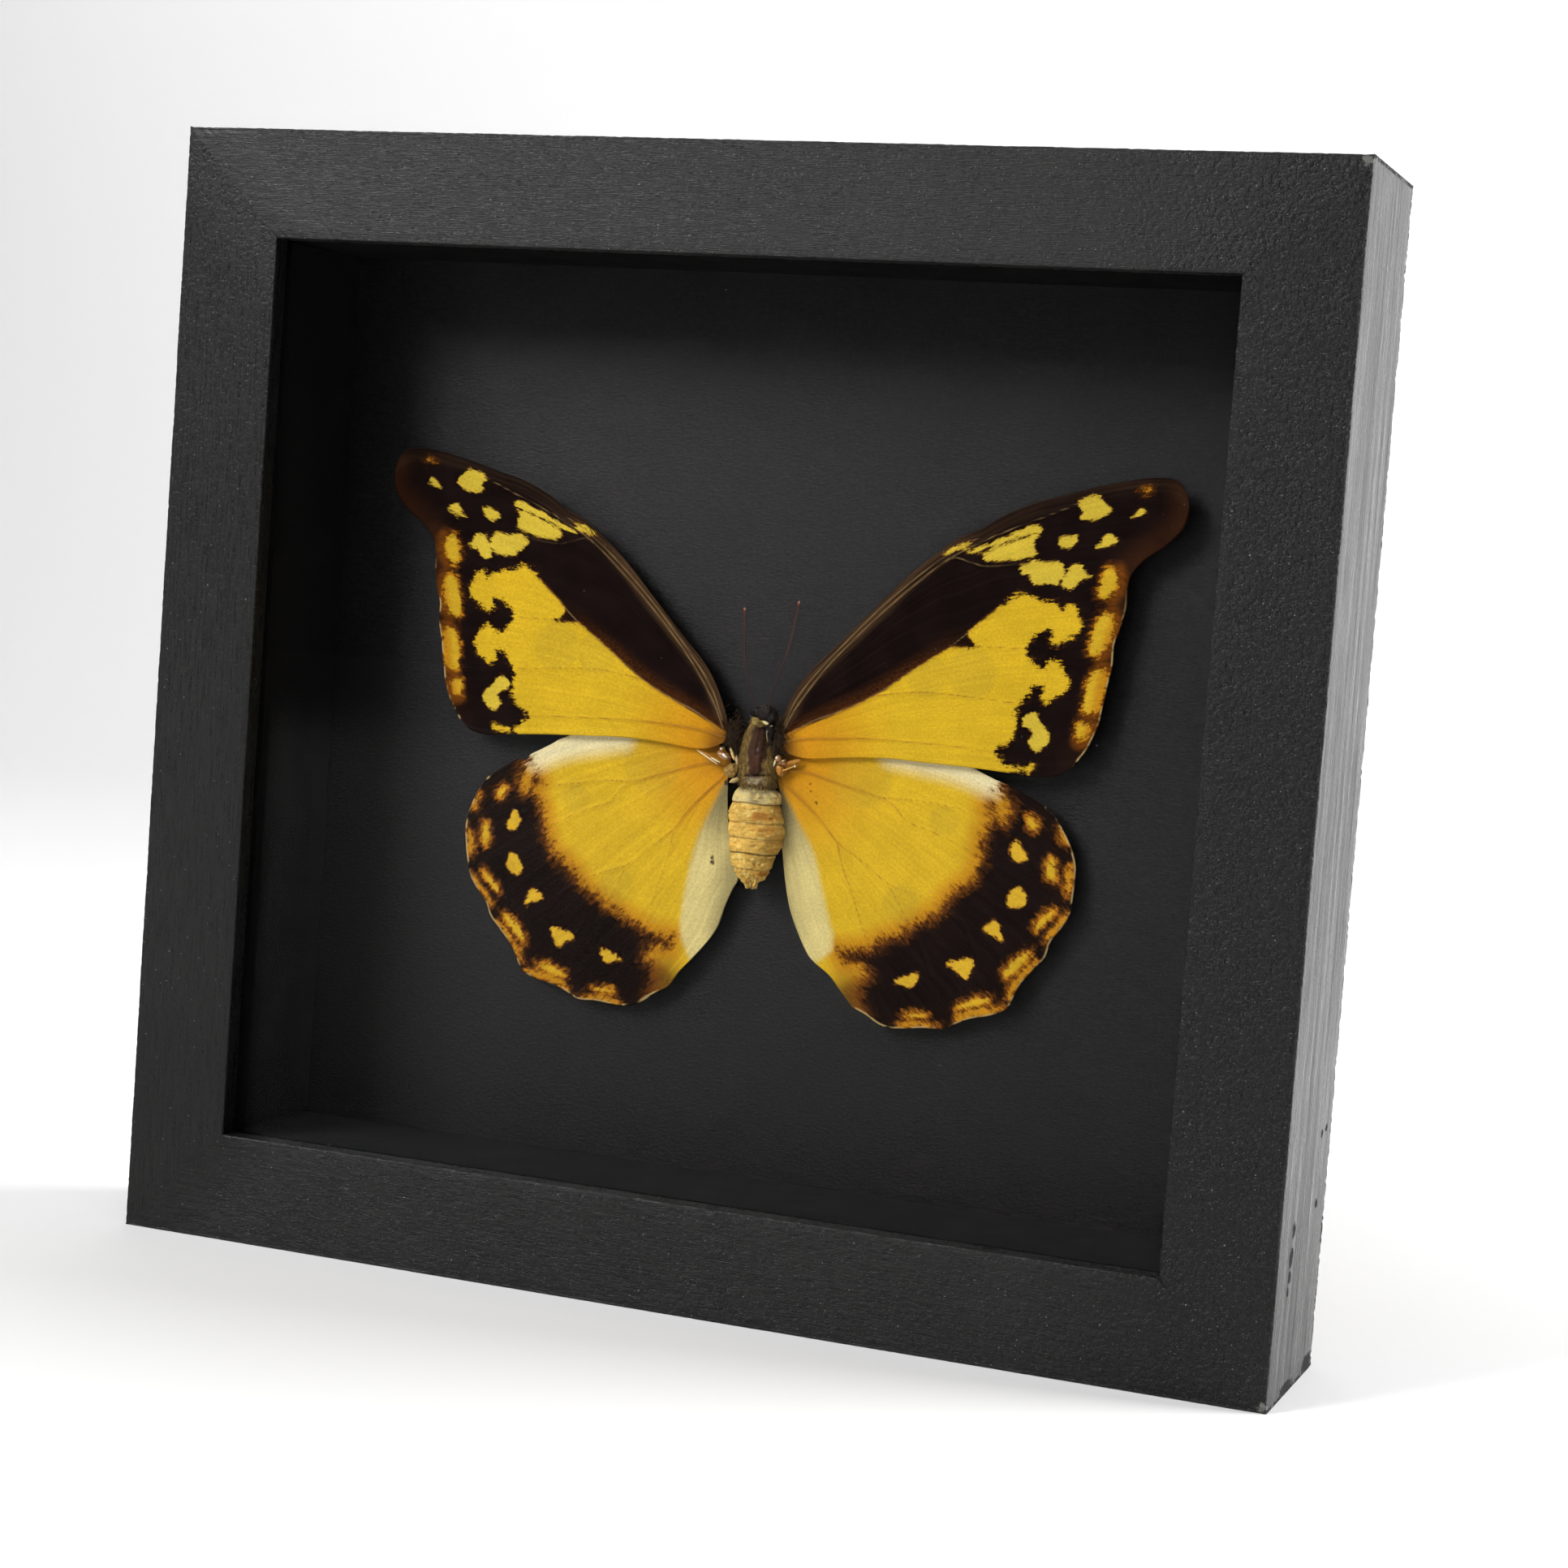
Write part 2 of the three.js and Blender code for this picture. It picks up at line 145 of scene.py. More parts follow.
def inside_distance(points: np.ndarray, ring: np.ndarray) -> np.ndarray:
    """The distance from each point to a closed ring, positive inside it and negative outside."""
    closed = np.vstack([ring, ring[:1]])
    within = np.zeros(len(points), bool)
    x, z = points[:, 0], points[:, 1]
    for (x0, z0), (x1, z1) in zip(closed[:-1], closed[1:]):
        if z0 == z1:
            continue
        spans = (z0 > z) != (z1 > z)
        within ^= spans & (x < (x1 - x0) * (z - z0) / (z1 - z0) + x0)
    return np.where(within, 1.0, -1.0) * line_distance(points, closed)


def ripple(at: np.ndarray, seed: int, longest: float, waves: int = 6) -> np.ndarray:
    """A smooth random ripple of about unit height: a sum of sines of random phase.

    Args:
        at: Where to read it, in the same unit as longest.
        seed: Chooses the phases.
        longest: The longest wavelength; each next one is about 0.6 times the one before.
        waves: How many sines are summed.
    """
    rng = np.random.default_rng(seed)
    total = np.zeros_like(at, dtype=float)
    for step in range(waves):
        wavelength = longest * 0.6**step * rng.uniform(0.9, 1.1)
        total += 0.75**step * np.sin(2 * np.pi * at / wavelength + rng.uniform(0, 2 * np.pi))
    return total / 2.0


def ease_between(value: np.ndarray, low: float, high: float) -> np.ndarray:
    """Runs smoothly from 0 at low to 1 at high, level beyond both."""
    t = np.clip((np.asarray(value, float) - low) / (high - low), 0.0, 1.0)
    return t * t * (3 - 2 * t)


# ---------------------------------------------------------------- meshes


@dataclass
class Mesh:
    """Points in drawing millimetres, their faces, and numbers that the materials read.

    Attributes:
        points: (x, depth, z) of each point.
        faces: Lists of point numbers.
        values: Named numbers or vectors, one to a point.
    """

    points: np.ndarray
    faces: list[list[int]]
    values: dict[str, np.ndarray] = field(default_factory=dict)

    @staticmethod
    def joined(parts: Sequence["Mesh"]) -> "Mesh":
        """One mesh of several that carry the same values."""
        faces: list[list[int]] = []
        start = 0
        for part in parts:
            faces += [[number + start for number in face] for face in part.faces]
            start += len(part.points)
        names = parts[0].values
        values = {name: np.concatenate([part.values[name] for part in parts]) for name in names}
        return Mesh(np.vstack([part.points for part in parts]), faces, values)

    def to_object(self, name: str, material: bpy.types.Material) -> bpy.types.Object:
        """Makes the Blender object, shaded smooth, at the origin and with its place in its points.

        Args:
            name: The object's name.
            material: Its one material.

        Returns:
            The object, linked to the scene.
        """
        mesh = bpy.data.meshes.new(name)
        mesh.from_pydata(place(self.points).tolist(), [], self.faces)
        for key, numbers in self.values.items():
            vector = numbers.ndim == 2
            kind, member = ("FLOAT_VECTOR", "vector") if vector else ("FLOAT", "value")
            layer = mesh.attributes.new(key, kind, "POINT")
            layer.data.foreach_set(member, numbers.astype(np.float32).ravel())
        mesh.polygons.foreach_set("use_smooth", [True] * len(mesh.polygons))
        mesh.materials.append(material)
        mesh.update()
        obj = bpy.data.objects.new(name, mesh)
        bpy.context.scene.collection.objects.link(obj)
        return obj


def grid_faces(rows: int, columns: int, wrap: bool = False) -> list[list[int]]:
    """The four-sided faces of a grid of points stored row by row.

    Args:
        rows: How many rows of points there are.
        columns: How many points a row has.
        wrap: Whether each row's last point joins its first.
    """
    across = np.arange(columns if wrap else columns - 1)
    first = (np.arange(rows - 1)[:, None] * columns + across).ravel()
    second = (np.arange(rows - 1)[:, None] * columns + (across + 1) % columns).ravel()
    return np.stack([first, second, second + columns, first + columns], 1).tolist()


# ---------------------------------------------------------------- shader graphs

Socket = bpy.types.NodeSocket
Value = Socket | float | tuple

NODE_STEP = (180, -220)
NODES_A_ROW = 12


class Graph:
    """Writes nodes and links into one shader node tree."""

    def __init__(self, tree: bpy.types.NodeTree) -> None:
        """Starts on an empty tree."""
        self.tree = tree
        self.count = 0

    def add(self, kind: str, inputs: dict[str | int, Value] | None = None, **settings) -> bpy.types.Node:
        """Adds a node, in the next place of a grid.

        Args:
            kind: The node's type without the ShaderNode prefix, or with its own prefix.
            inputs: Values or sockets by the name or number of the input.
            settings: The node's own properties, which are set before its inputs.

        Returns:
            The node.
        """
        prefix = "" if kind.startswith("Node") else "ShaderNode"
        node = self.tree.nodes.new(prefix + kind)
        row, column = divmod(self.count, NODES_A_ROW)
        node.location = (NODE_STEP[0] * column, NODE_STEP[1] * row)
        self.count += 1
        for key, value in settings.items():
            setattr(node, key, value)
        for key, value in (inputs or {}).items():
            self.feed(node.inputs[key], value)
        return node

    def feed(self, target: Socket, value: Value) -> None:
        """Links a socket to an input, or sets the input's own value."""
        if isinstance(value, bpy.types.NodeSocket):
            self.tree.links.new(value, target)
        elif isinstance(value, tuple) and len(value) == 3 and target.type == "RGBA":
            target.default_value = (*value, 1.0)
        else:
            target.default_value = value

    def math(self, operation: str, *values: Value) -> Socket:
        """One step of arithmetic on numbers."""
        return self.add("Math", dict(enumerate(values)), operation=operation).outputs[0]

    def times(self, first: Value, second: Value) -> Socket:
        """The product of two numbers."""
        return self.math("MULTIPLY", first, second)

    def plus(self, first: Value, second: Value) -> Socket:
        """The sum of two numbers."""
        return self.math("ADD", first, second)

    def minus(self, first: Value, second: Value) -> Socket:
        """The first number less the second."""
        return self.math("SUBTRACT", first, second)

    def times_plus(self, first: Value, second: Value, third: Value) -> Socket:
        """The product of two numbers, plus a third."""
        return self.math("MULTIPLY_ADD", first, second, third)

    def greater(self, first: Value, second: Value) -> Socket:
        """The greater of two numbers."""
        return self.math("MAXIMUM", first, second)

    def swing(self, noise: Value, by: float) -> Socket:
        """Noise brought from about a half down to about 0, and multiplied."""
        return self.times(self.minus(noise, 0.5), by)

    def span(self, value: Value, low: float, high: float, start: float = 0.0, end: float = 1.0) -> Socket:
        """Runs smoothly from start, at low, to end, at high."""
        inputs = {"Value": value, "From Min": low, "From Max": high, "To Min": start, "To Max": end}
        return self.add("MapRange", inputs, interpolation_type="SMOOTHSTEP").outputs[0]

    def blend(self, factor: Value, first: Value, second: Value, how: str = "MIX") -> Socket:
        """Mixes two colours, which are the Mix node's inputs 6 and 7; factor 0 is the first."""
        inputs = {0: factor, 6: first, 7: second}
        return self.add("Mix", inputs, data_type="RGBA", blend_type=how, clamp_factor=True).outputs[2]

    def shade(self, colour: Value, tone: Socket) -> Socket:
        """A colour multiplied by a number."""
        grey = self.add("CombineColor", {0: tone, 1: tone, 2: tone}).outputs[0]
        return self.blend(1.0, colour, grey, "MULTIPLY")

    def stretch(self, vector: Value, by: Triple) -> Socket:
        """A vector with each of its parts multiplied."""
        return self.add("VectorMath", {0: vector, 1: by}, operation="MULTIPLY").outputs[0]

    def noise(self, vector: Value, scale: float, detail: float = 3.0, rough: float = 0.55) -> Socket:
        """Soft noise between 0 and 1."""
        inputs = {"Vector": vector, "Scale": scale, "Detail": detail, "Roughness": rough}
        return self.add("TexNoise", inputs).outputs[0]

    def number(self, name: str) -> Socket:
        """A number that the mesh carries."""
        return self.add("Attribute", attribute_name=name).outputs["Fac"]

    def vector(self, name: str) -> Socket:
        """A vector that the mesh carries."""
        return self.add("Attribute", attribute_name=name).outputs["Vector"]

    def object_mm(self) -> Socket:
        """The place on the object, in millimetres."""
        where = self.add("TexCoord").outputs["Object"]
        return self.stretch(where, (1 / METRES,) * 3)

    def bump(self, height: Value, distance: float, strength: Value = 1.0) -> Socket:
        """Tilts the normal by a height that is worth distance metres at 1."""
        inputs = {"Height": height, "Distance": distance, "Strength": strength}
        return self.add("Bump", inputs).outputs[0]

    def group(self, tree: bpy.types.NodeTree, **inputs: Value) -> bpy.types.NodeOutputs:
        """Places a node group and gives its outputs."""
        return self.add("Group", inputs, node_tree=tree).outputs

    def surface(self, **inputs: Value) -> Socket:
        """A Principled surface; underscores in the names of its inputs stand for spaces."""
        spaced = {key.replace("_", " "): value for key, value in inputs.items()}
        return self.add("BsdfPrincipled", spaced).outputs[0]

    def close(self, shader: Socket) -> None:
        """Ends a material in its output."""
        self.add("OutputMaterial", {"Surface": shader})


def new_material(name: str) -> tuple[bpy.types.Material, Graph]:
    """An empty material and the graph that fills it."""
    material = bpy.data.materials.new(name)
    material.use_nodes = True
    material.node_tree.nodes.clear()
    return material, Graph(material.node_tree)


class EffectGroup:
    """A reusable shader group with named inputs and outputs."""

    def __init__(self, name: str, inputs: dict[str, float | None], outputs: Sequence[str]) -> None:
        """Opens the group.

        Args:
            name: The group's name.
            inputs: Default values by name; None stands for a vector.
            outputs: The names of its numbers.
        """
        self.tree = bpy.data.node_groups.new(name, "ShaderNodeTree")
        for key, default in inputs.items():
            kind = "NodeSocketVector" if default is None else "NodeSocketFloat"
            socket = self.tree.interface.new_socket(key, in_out="INPUT", socket_type=kind)
            if default is not None:
                socket.default_value = default
        for key in outputs:
            self.tree.interface.new_socket(key, in_out="OUTPUT", socket_type="NodeSocketFloat")
        self.graph = Graph(self.tree)
        self.inputs = self.graph.add("NodeGroupInput").outputs
        self.out = self.graph.add("NodeGroupOutput")

    def give(self, **results: Socket) -> bpy.types.NodeTree:
        """Links the results to the outputs and hands the group over."""
        for key, socket in results.items():
            self.tree.links.new(socket, self.out.inputs[key])
        return self.tree


class Effects:
    """The shader groups that more than one finish uses."""

    def __init__(self) -> None:
        """Builds every group once."""
        self.specks = self._specks()
        self.ragged = self._ragged()
        self.fibres = self._fibres()

    @staticmethod
    def _specks() -> bpy.types.NodeTree:
        """Scattered small specks, such as dust: Mask is 1 on them.

        Cells of the given size hold one speck each, of the given size, and only a share of the
        cells has one.
        """
        group = EffectGroup("Specks", {"Vector": None, "Cell": 2.0, "Size": 0.1, "Share": 0.4}, ["Mask"])
        g, inputs = group.graph, group.inputs
        density = g.math("DIVIDE", 1.0, inputs["Cell"])
        cells = g.add("TexVoronoi", {"Vector": inputs["Vector"], "Scale": density}, feature="F1")
        share = g.add("SeparateColor", {0: cells.outputs["Color"]}).outputs
        distance = g.times(cells.outputs["Distance"], inputs["Cell"])
        radius = g.times(inputs["Size"], g.plus(share[1], 0.4))
        dot = g.span(g.math("DIVIDE", distance, radius), 1.0, 0.6)
        kept = g.math("LESS_THAN", share[0], inputs["Share"])
        return group.give(Mask=g.times(dot, kept))

    @staticmethod
    def _ragged() -> bpy.types.NodeTree:
        """A mark's edge, broken up as by rows of scales: Mask is 1 well inside the mark.

        Distance is the distance inside the mark, in millimetres; Soft the width over which the
        mark fades, and Rough how far its edge wanders.
        """
        inputs = {"Vector": None, "Distance": 0.0, "Soft": 0.2, "Rough": 0.4}
        group = EffectGroup("Ragged edge", inputs, ["Mask"])
        g, at = group.graph, group.inputs
        broad = g.noise(at["Vector"], 0.4, 2.0)
        rows = g.noise(g.stretch(at["Vector"], (0.75, 1.7, 1.0)), 0.95, 5.0, 0.85)
        wander = g.plus(g.times(broad, 3.0), g.times(rows, 11.0))
        wander = g.times(g.minus(wander, 7.0), at["Rough"])
        share = g.math("DIVIDE", g.plus(at["Distance"], wander), at["Soft"])
        return group.give(Mask=g.span(share, -0.5, 0.5))

    @staticmethod
    def _fibres() -> bpy.types.NodeTree:
        """Fine lines along the vector's first part: Tone and Height run from 0 to 1.

        Length and Width are the lines' size in millimetres.
        """
        group = EffectGroup("Fibres", {"Vector": None, "Length": 12.0, "Width": 0.3}, ["Tone", "Height"])
        g, at = group.graph, group.inputs
        parts = g.add("SeparateXYZ", {0: at["Vector"]}).outputs
        sizes = (at["Length"], at["Width"], at["Width"])
        shares = [g.math("DIVIDE", part, size) for part, size in zip(parts, sizes)]
        lines = g.add("CombineXYZ", dict(enumerate(shares))).outputs[0]
        return group.give(Tone=g.noise(lines, 1.0, 3.0, 0.6), Height=g.noise(lines, 2.3, 2.0, 0.6))


# ---------------------------------------------------------------- finishes of the box

GRAIN_APART = 1000.0  # between the grain numbers of one rail and the next
RIGHT_RAIL_TURNS = 1


@dataclass(frozen=True)
class PaintedWood:
    """Thin satin black paint on wood, with grain, brush marks and rubbed corners.

    Attributes:
        paint: The paint's colour.
        worn: The colour where a corner is rubbed through.
        dust: The colour of the dust on it, and of the pale specks painted as glints on leathery paint.
        thin: The colour where the brush left it thin.
        hollow_shade: The painted shade in pits, cracks and chips: a colour near black.
        sheen: The paint's roughness.
        specular: The strength of its plain reflection.
        relief: The height of its grain and peel, in metres.
        pits: (along, depth) of each pit's middle on the right side, and of its half sizes.
        pit_reach: How far in from the side face a pit shows.
    """

    paint: Colour = (0.0072, 0.0073, 0.0069)
    worn: Colour = (0.13, 0.128, 0.118)
    dust: Colour = (0.26, 0.265, 0.26)
    thin: Colour = (0.06, 0.06, 0.058)
    hollow_shade: Colour = (0.002, 0.002, 0.002)
    sheen: float = 0.37
    specular: float = 0.24
    relief: float = 0.00011
    pits: tuple[tuple[Pair, Pair], ...] = (
        ((-67.5, 9.9), (1.2, 1.3)),
        ((-71.8, 9.4), (1.6, 1.6)),
        ((-74.8, 9.3), (1.1, 1.2)),
        ((-77.0, 8.9), (0.8, 0.9)),
        ((-66.3, 26.6), (0.8, 1.0)),
        ((-55.0, 26.5), (0.7, 0.9)),
        ((-54.6, 30.0), (0.7, 0.9)),
        ((-72.0, 34.6), (3.4, 1.6)),
        ((-83.0, 34.8), (2.2, 1.4)),
        ((38.0, 34.7), (1.6, 1.2)),
        ((-92.5, 30.0), (1.4, 4.0)),
        ((-93.0, 14.0), (1.0, 5.0)),
    )
    pit_reach: float = 3.0

    def material(self, effects: Effects) -> bpy.types.Material:
        """Builds the finish; it reads the rails' grain, from_mitre, leather, rub and crack."""
        material, g = new_material("Painted wood")
        grain, leather_and_painted_light, where = g.vector("grain"), g.number("leather_and_painted_light"), g.object_mm()
        fibres, coarse, brushed = (
            g.group(effects.fibres, Vector=grain, Length=length, Width=width)
            for length, width in ((7.0, 0.34), (40.0, 1.8), (60.0, 2.6))
        )
        _, across, deep = g.add("SeparateXYZ", {0: grain}).outputs
        side = g.span(across, 0.5, 0.1)
        front = g.minus(1.0, side)
        brush = g.times(side, g.span(leather_and_painted_light, 0.2, 0.9, 0.3, 1.0))
        peel = g.noise(where, 1.5, 3.0, 0.65)
        ends = g.span(g.number("from_mitre"), 2.0, 16.0)

        tone = g.times_plus(g.minus(fibres["Tone"], 0.5), 3.0, 1.0)
        # Leathery paint is painted darker: painted shade, strongest on the right rail.
        tone = g.times(g.greater(tone, 0.3), g.times_plus(leather_and_painted_light, -0.7, 1.0))
        tone = g.times(tone, g.span(g.noise(where, 0.045, 3.0), 0.3, 0.75, 0.88, 1.15))
        colour = g.shade(self.paint, tone)
        # Dust specks, with more of them on leathery paint: the extra specks are painted glints on its bumps.
        share = g.times(g.times_plus(leather_and_painted_light, 0.3, 0.3), g.times_plus(side, -0.65, 1.0))
        dust = g.group(effects.specks, Vector=where, Cell=1.2, Size=0.19, Share=share)
        colour = g.blend(g.times(dust["Mask"], 0.6), colour, self.dust)
        thin = g.times(brush, g.span(brushed["Height"], 0.36, 0.76))
        colour = g.blend(g.times(thin, 0.45), colour, self.thin)
        rubbed = g.span(g.plus(g.number("rub"), g.swing(peel, 1.1)), 0.45, 0.7)
        colour = g.blend(rubbed, colour, self.worn)
        # Painted shade: pits, the mitre slit and chipped edges are painted near black, for the shade in
        # these hollows.
        pits = self._pits(g, grain)
        hollow_shade = g.greater(pits, g.number("crack"))
        hollow_shade = g.greater(hollow_shade, g.times(self._chips(g, grain, deep), side))
        colour = g.blend(hollow_shade, colour, self.hollow_shade)

        height = g.times(fibres["Height"], g.times_plus(ends, 0.45, 0.25))
        height = g.times(height, g.times_plus(leather_and_painted_light, -1.25, 1.6))
        height = g.times_plus(peel, g.times_plus(leather_and_painted_light, 3.4, 0.5), height)
        height = g.times_plus(coarse["Height"], g.times_plus(side, 1.6, 0.35), height)
        height = g.minus(height, g.times(pits, 6.0))

        sheen = g.span(fibres["Tone"], 0.3, 0.7, self.sheen - 0.1, self.sheen + 0.12)
        streaked = g.times(g.minus(brushed["Tone"], 0.5), brush)
        sheen = g.times_plus(streaked, 1.1, g.times_plus(leather_and_painted_light, -0.12, sheen))
        pebbled = g.times(leather_and_painted_light, g.span(peel, 0.38, 0.64, -0.13, 0.2))
        sheen = g.times_plus(front, pebbled, sheen)
        sheen = g.greater(sheen, g.times(g.greater(hollow_shade, rubbed), 0.85))
        surface = g.surface(
            Base_Color=colour,
            Roughness=sheen,
            Normal=g.bump(height, self.relief),
            Specular_IOR_Level=self.specular,
        )
        g.close(surface)
        return material

    @staticmethod
    def _chips(g: Graph, grain: Socket, deep: Socket) -> Socket:
        """Broken edges of the side faces, along the back and at the mitres; their dark is painted shade."""
        back = g.times(g.span(deep, 33.0, 34.6), g.span(g.noise(grain, 0.8, 3.0), 0.5, 0.58))
        end = g.span(g.number("from_mitre"), 0.8, 0.45)
        return g.greater(back, g.times(end, g.span(g.noise(grain, 0.6, 3.0), 0.4, 0.5)))

    def _pits(self, g: Graph, grain: Socket) -> Socket:
        """Small dark pits in the right side: broken ellipses at listed places."""
        # Painted shade: the pits are painted dark for the shade in them.
        mask: Value = 0.0
        broken = g.swing(g.noise(grain, 1.1, 2.0), 1.6)
        for (along, depth), (half_along, half_depth) in self.pits:
            middle = (GRAIN_APART * RIGHT_RAIL_TURNS + along, 0.0, depth)
            off = g.add("VectorMath", {0: grain, 1: middle}, operation="SUBTRACT").outputs[0]
            share = g.stretch(off, (1 / half_along, 1 / self.pit_reach, 1 / half_depth))
            far = g.add("VectorMath", {0: share}, operation="LENGTH").outputs["Value"]
            mask = g.greater(mask, g.span(g.plus(far, broken), 1.1, 0.75))
        return mask


@dataclass(frozen=True)
class Card:
    """Matte charcoal card with a faint level texture and a little dust.

    Attributes:
        colour: Its base colour.
        dust: The colour of the dust on it.
        specular: The strength of its plain reflection.
        relief: The height of its texture, in metres.
    """

    colour: Colour = (0.0058, 0.0047, 0.0049)
    dust: Colour = (0.42, 0.4, 0.38)
    specular: float = 0.165
    relief: float = 0.00005

    def material(self, effects: Effects) -> bpy.types.Material:
        """Builds the finish."""
        material, g = new_material("Charcoal card")
        where = g.object_mm()
        laid = g.group(effects.fibres, Vector=where, Length=3.5, Width=0.32)
        grain = g.noise(where, 1.5, 3.0, 0.8)
        tone = g.times(g.span(laid["Tone"], 0.25, 0.75, 0.5, 1.5), g.span(grain, 0.35, 0.65, 0.45, 1.55))
        tone = g.times(tone, g.span(g.noise(where, 0.05, 3.0), 0.3, 0.7, 0.95, 1.05))
        large = g.group(effects.specks, Vector=where, Cell=7.0, Size=0.15, Share=0.3)
        fine = g.group(effects.specks, Vector=where, Cell=2.2, Size=0.09, Share=0.16)
        dusty = g.times_plus(fine["Mask"], 0.35, g.times(large["Mask"], 0.9))
        colour = g.blend(dusty, g.shade(self.colour, tone), self.dust)
        matte = g.span(g.plus(grain, laid["Tone"]), 0.75, 1.25, 0.34, 0.57)
        surface = g.surface(
            Base_Color=colour,
            Roughness=matte,
            Normal=g.bump(g.times_plus(grain, 0.8, laid["Height"]), self.relief),
            Specular_IOR_Level=self.specular,
        )
        g.close(surface)
        return material


@dataclass(frozen=True)
class PlainFinish:
    """An even finish with a little cloudy variation and fine lines.

    Attributes:
        name: The material's name.
        colour: Its base colour.
        roughness: How matte it is.
        metallic: 1 for bare metal.
        specular: The strength of its plain reflection.
        streak: How strongly lines along X show in the colour.
        grit: The relief's height in metres.
    """

    name: str
    colour: Colour
    roughness: float
    metallic: float = 0.0
    specular: float = 0.5
    streak: float = 0.1
    grit: float = 0.00002

    def material(self, effects: Effects) -> bpy.types.Material:
        """Builds the finish."""
        material, g = new_material(self.name)
        where = g.object_mm()
        lines = g.group(effects.fibres, Vector=where, Length=6.0, Width=0.3)
        cloud = g.noise(where, 0.12, 4.0)
        tone = g.span(lines["Tone"], 0.2, 0.8, 1 - self.streak, 1 + self.streak)
        tone = g.times(tone, g.span(cloud, 0.3, 0.7, 0.9, 1.1))
        surface = g.surface(
            Base_Color=g.shade(self.colour, tone),
            Roughness=g.span(cloud, 0.3, 0.7, self.roughness - 0.05, self.roughness + 0.07),
            Normal=g.bump(lines["Height"], self.grit),
            Metallic=self.metallic,
            Specular_IOR_Level=self.specular,
        )
        g.close(surface)
        return material


@dataclass(frozen=True)
class PaneGlass:
    """Clear glass with an anti-reflective coat, that light passes through without a dark shadow.

    Attributes:
        tint: Its colour.
        ior: How strongly it bends light.
        reflection: How much of bare glass's reflection the coat leaves.
        passed: The share of the light, by colour, that reaches what is behind it.
    """

    tint: Colour = (0.985, 0.99, 0.988)
    ior: float = 1.45
    reflection: float = 0.02
    passed: Colour = (0.96, 0.965, 0.962)

    def material(self) -> bpy.types.Material:
        """Builds the finish: clear glass to the eye, and open to the light."""
        material, g = new_material("Pane glass")
        glass = g.surface(
            Base_Color=self.tint,
            Roughness=0.0,
            IOR=self.ior,
            Transmission_Weight=1.0,
            Specular_Tint=(self.reflection,) * 3,
        )
        through = g.add("BsdfTransparent", {"Color": self.passed}).outputs[0]
        rays = g.add("LightPath").outputs
        open_to_light = g.greater(rays["Is Shadow Ray"], rays["Is Diffuse Ray"])
        g.close(g.add("MixShader", {0: open_to_light, 1: glass, 2: through}).outputs[0])
        return material


# ---------------------------------------------------------------- the frame's rails


class RailPlace(Enum):
    """Where a rail lies: its node, its quarter turns and whether it runs along the width."""

    BOTTOM = ("rail_bottom", 0, True)
    RIGHT = ("rail_right", RIGHT_RAIL_TURNS, False)
    TOP = ("rail_top", 2, True)
    LEFT = ("rail_left", 3, False)


@dataclass(frozen=True)
class RailWear:
    """How one rail has aged.

    Attributes:
        leather_and_painted_light: From 0, brushed, to 1, pebbled like hide; it also darkens the paint as
            painted shade and adds pale specks as painted glints.
        worn_start: How rubbed the corner is where its length starts.
        worn_end: How rubbed the corner is where its length ends.
        leather_and_painted_light_end: 1 or -1 where the pebbling, with its painted shade and glints, grows
            towards the end or the start, or 0.
        crack_end: 1 or -1 where the mitre at the end or the start has a slit, or 0.
    """

    leather_and_painted_light: float
    worn_start: float
    worn_end: float
    leather_and_painted_light_end: float = 0.0
    crack_end: float = 0.0


WEAR = {
    RailPlace.BOTTOM: RailWear(0.3, 0.35, 0.8, leather_and_painted_light_end=1.0, crack_end=1.0),
    RailPlace.RIGHT: RailWear(1.0, 1.0, 0.9, crack_end=-1.0),
    RailPlace.TOP: RailWear(0.1, 0.9, 0.25, leather_and_painted_light_end=-1.0),
    RailPlace.LEFT: RailWear(0.35, 0.25, 0.45),
}


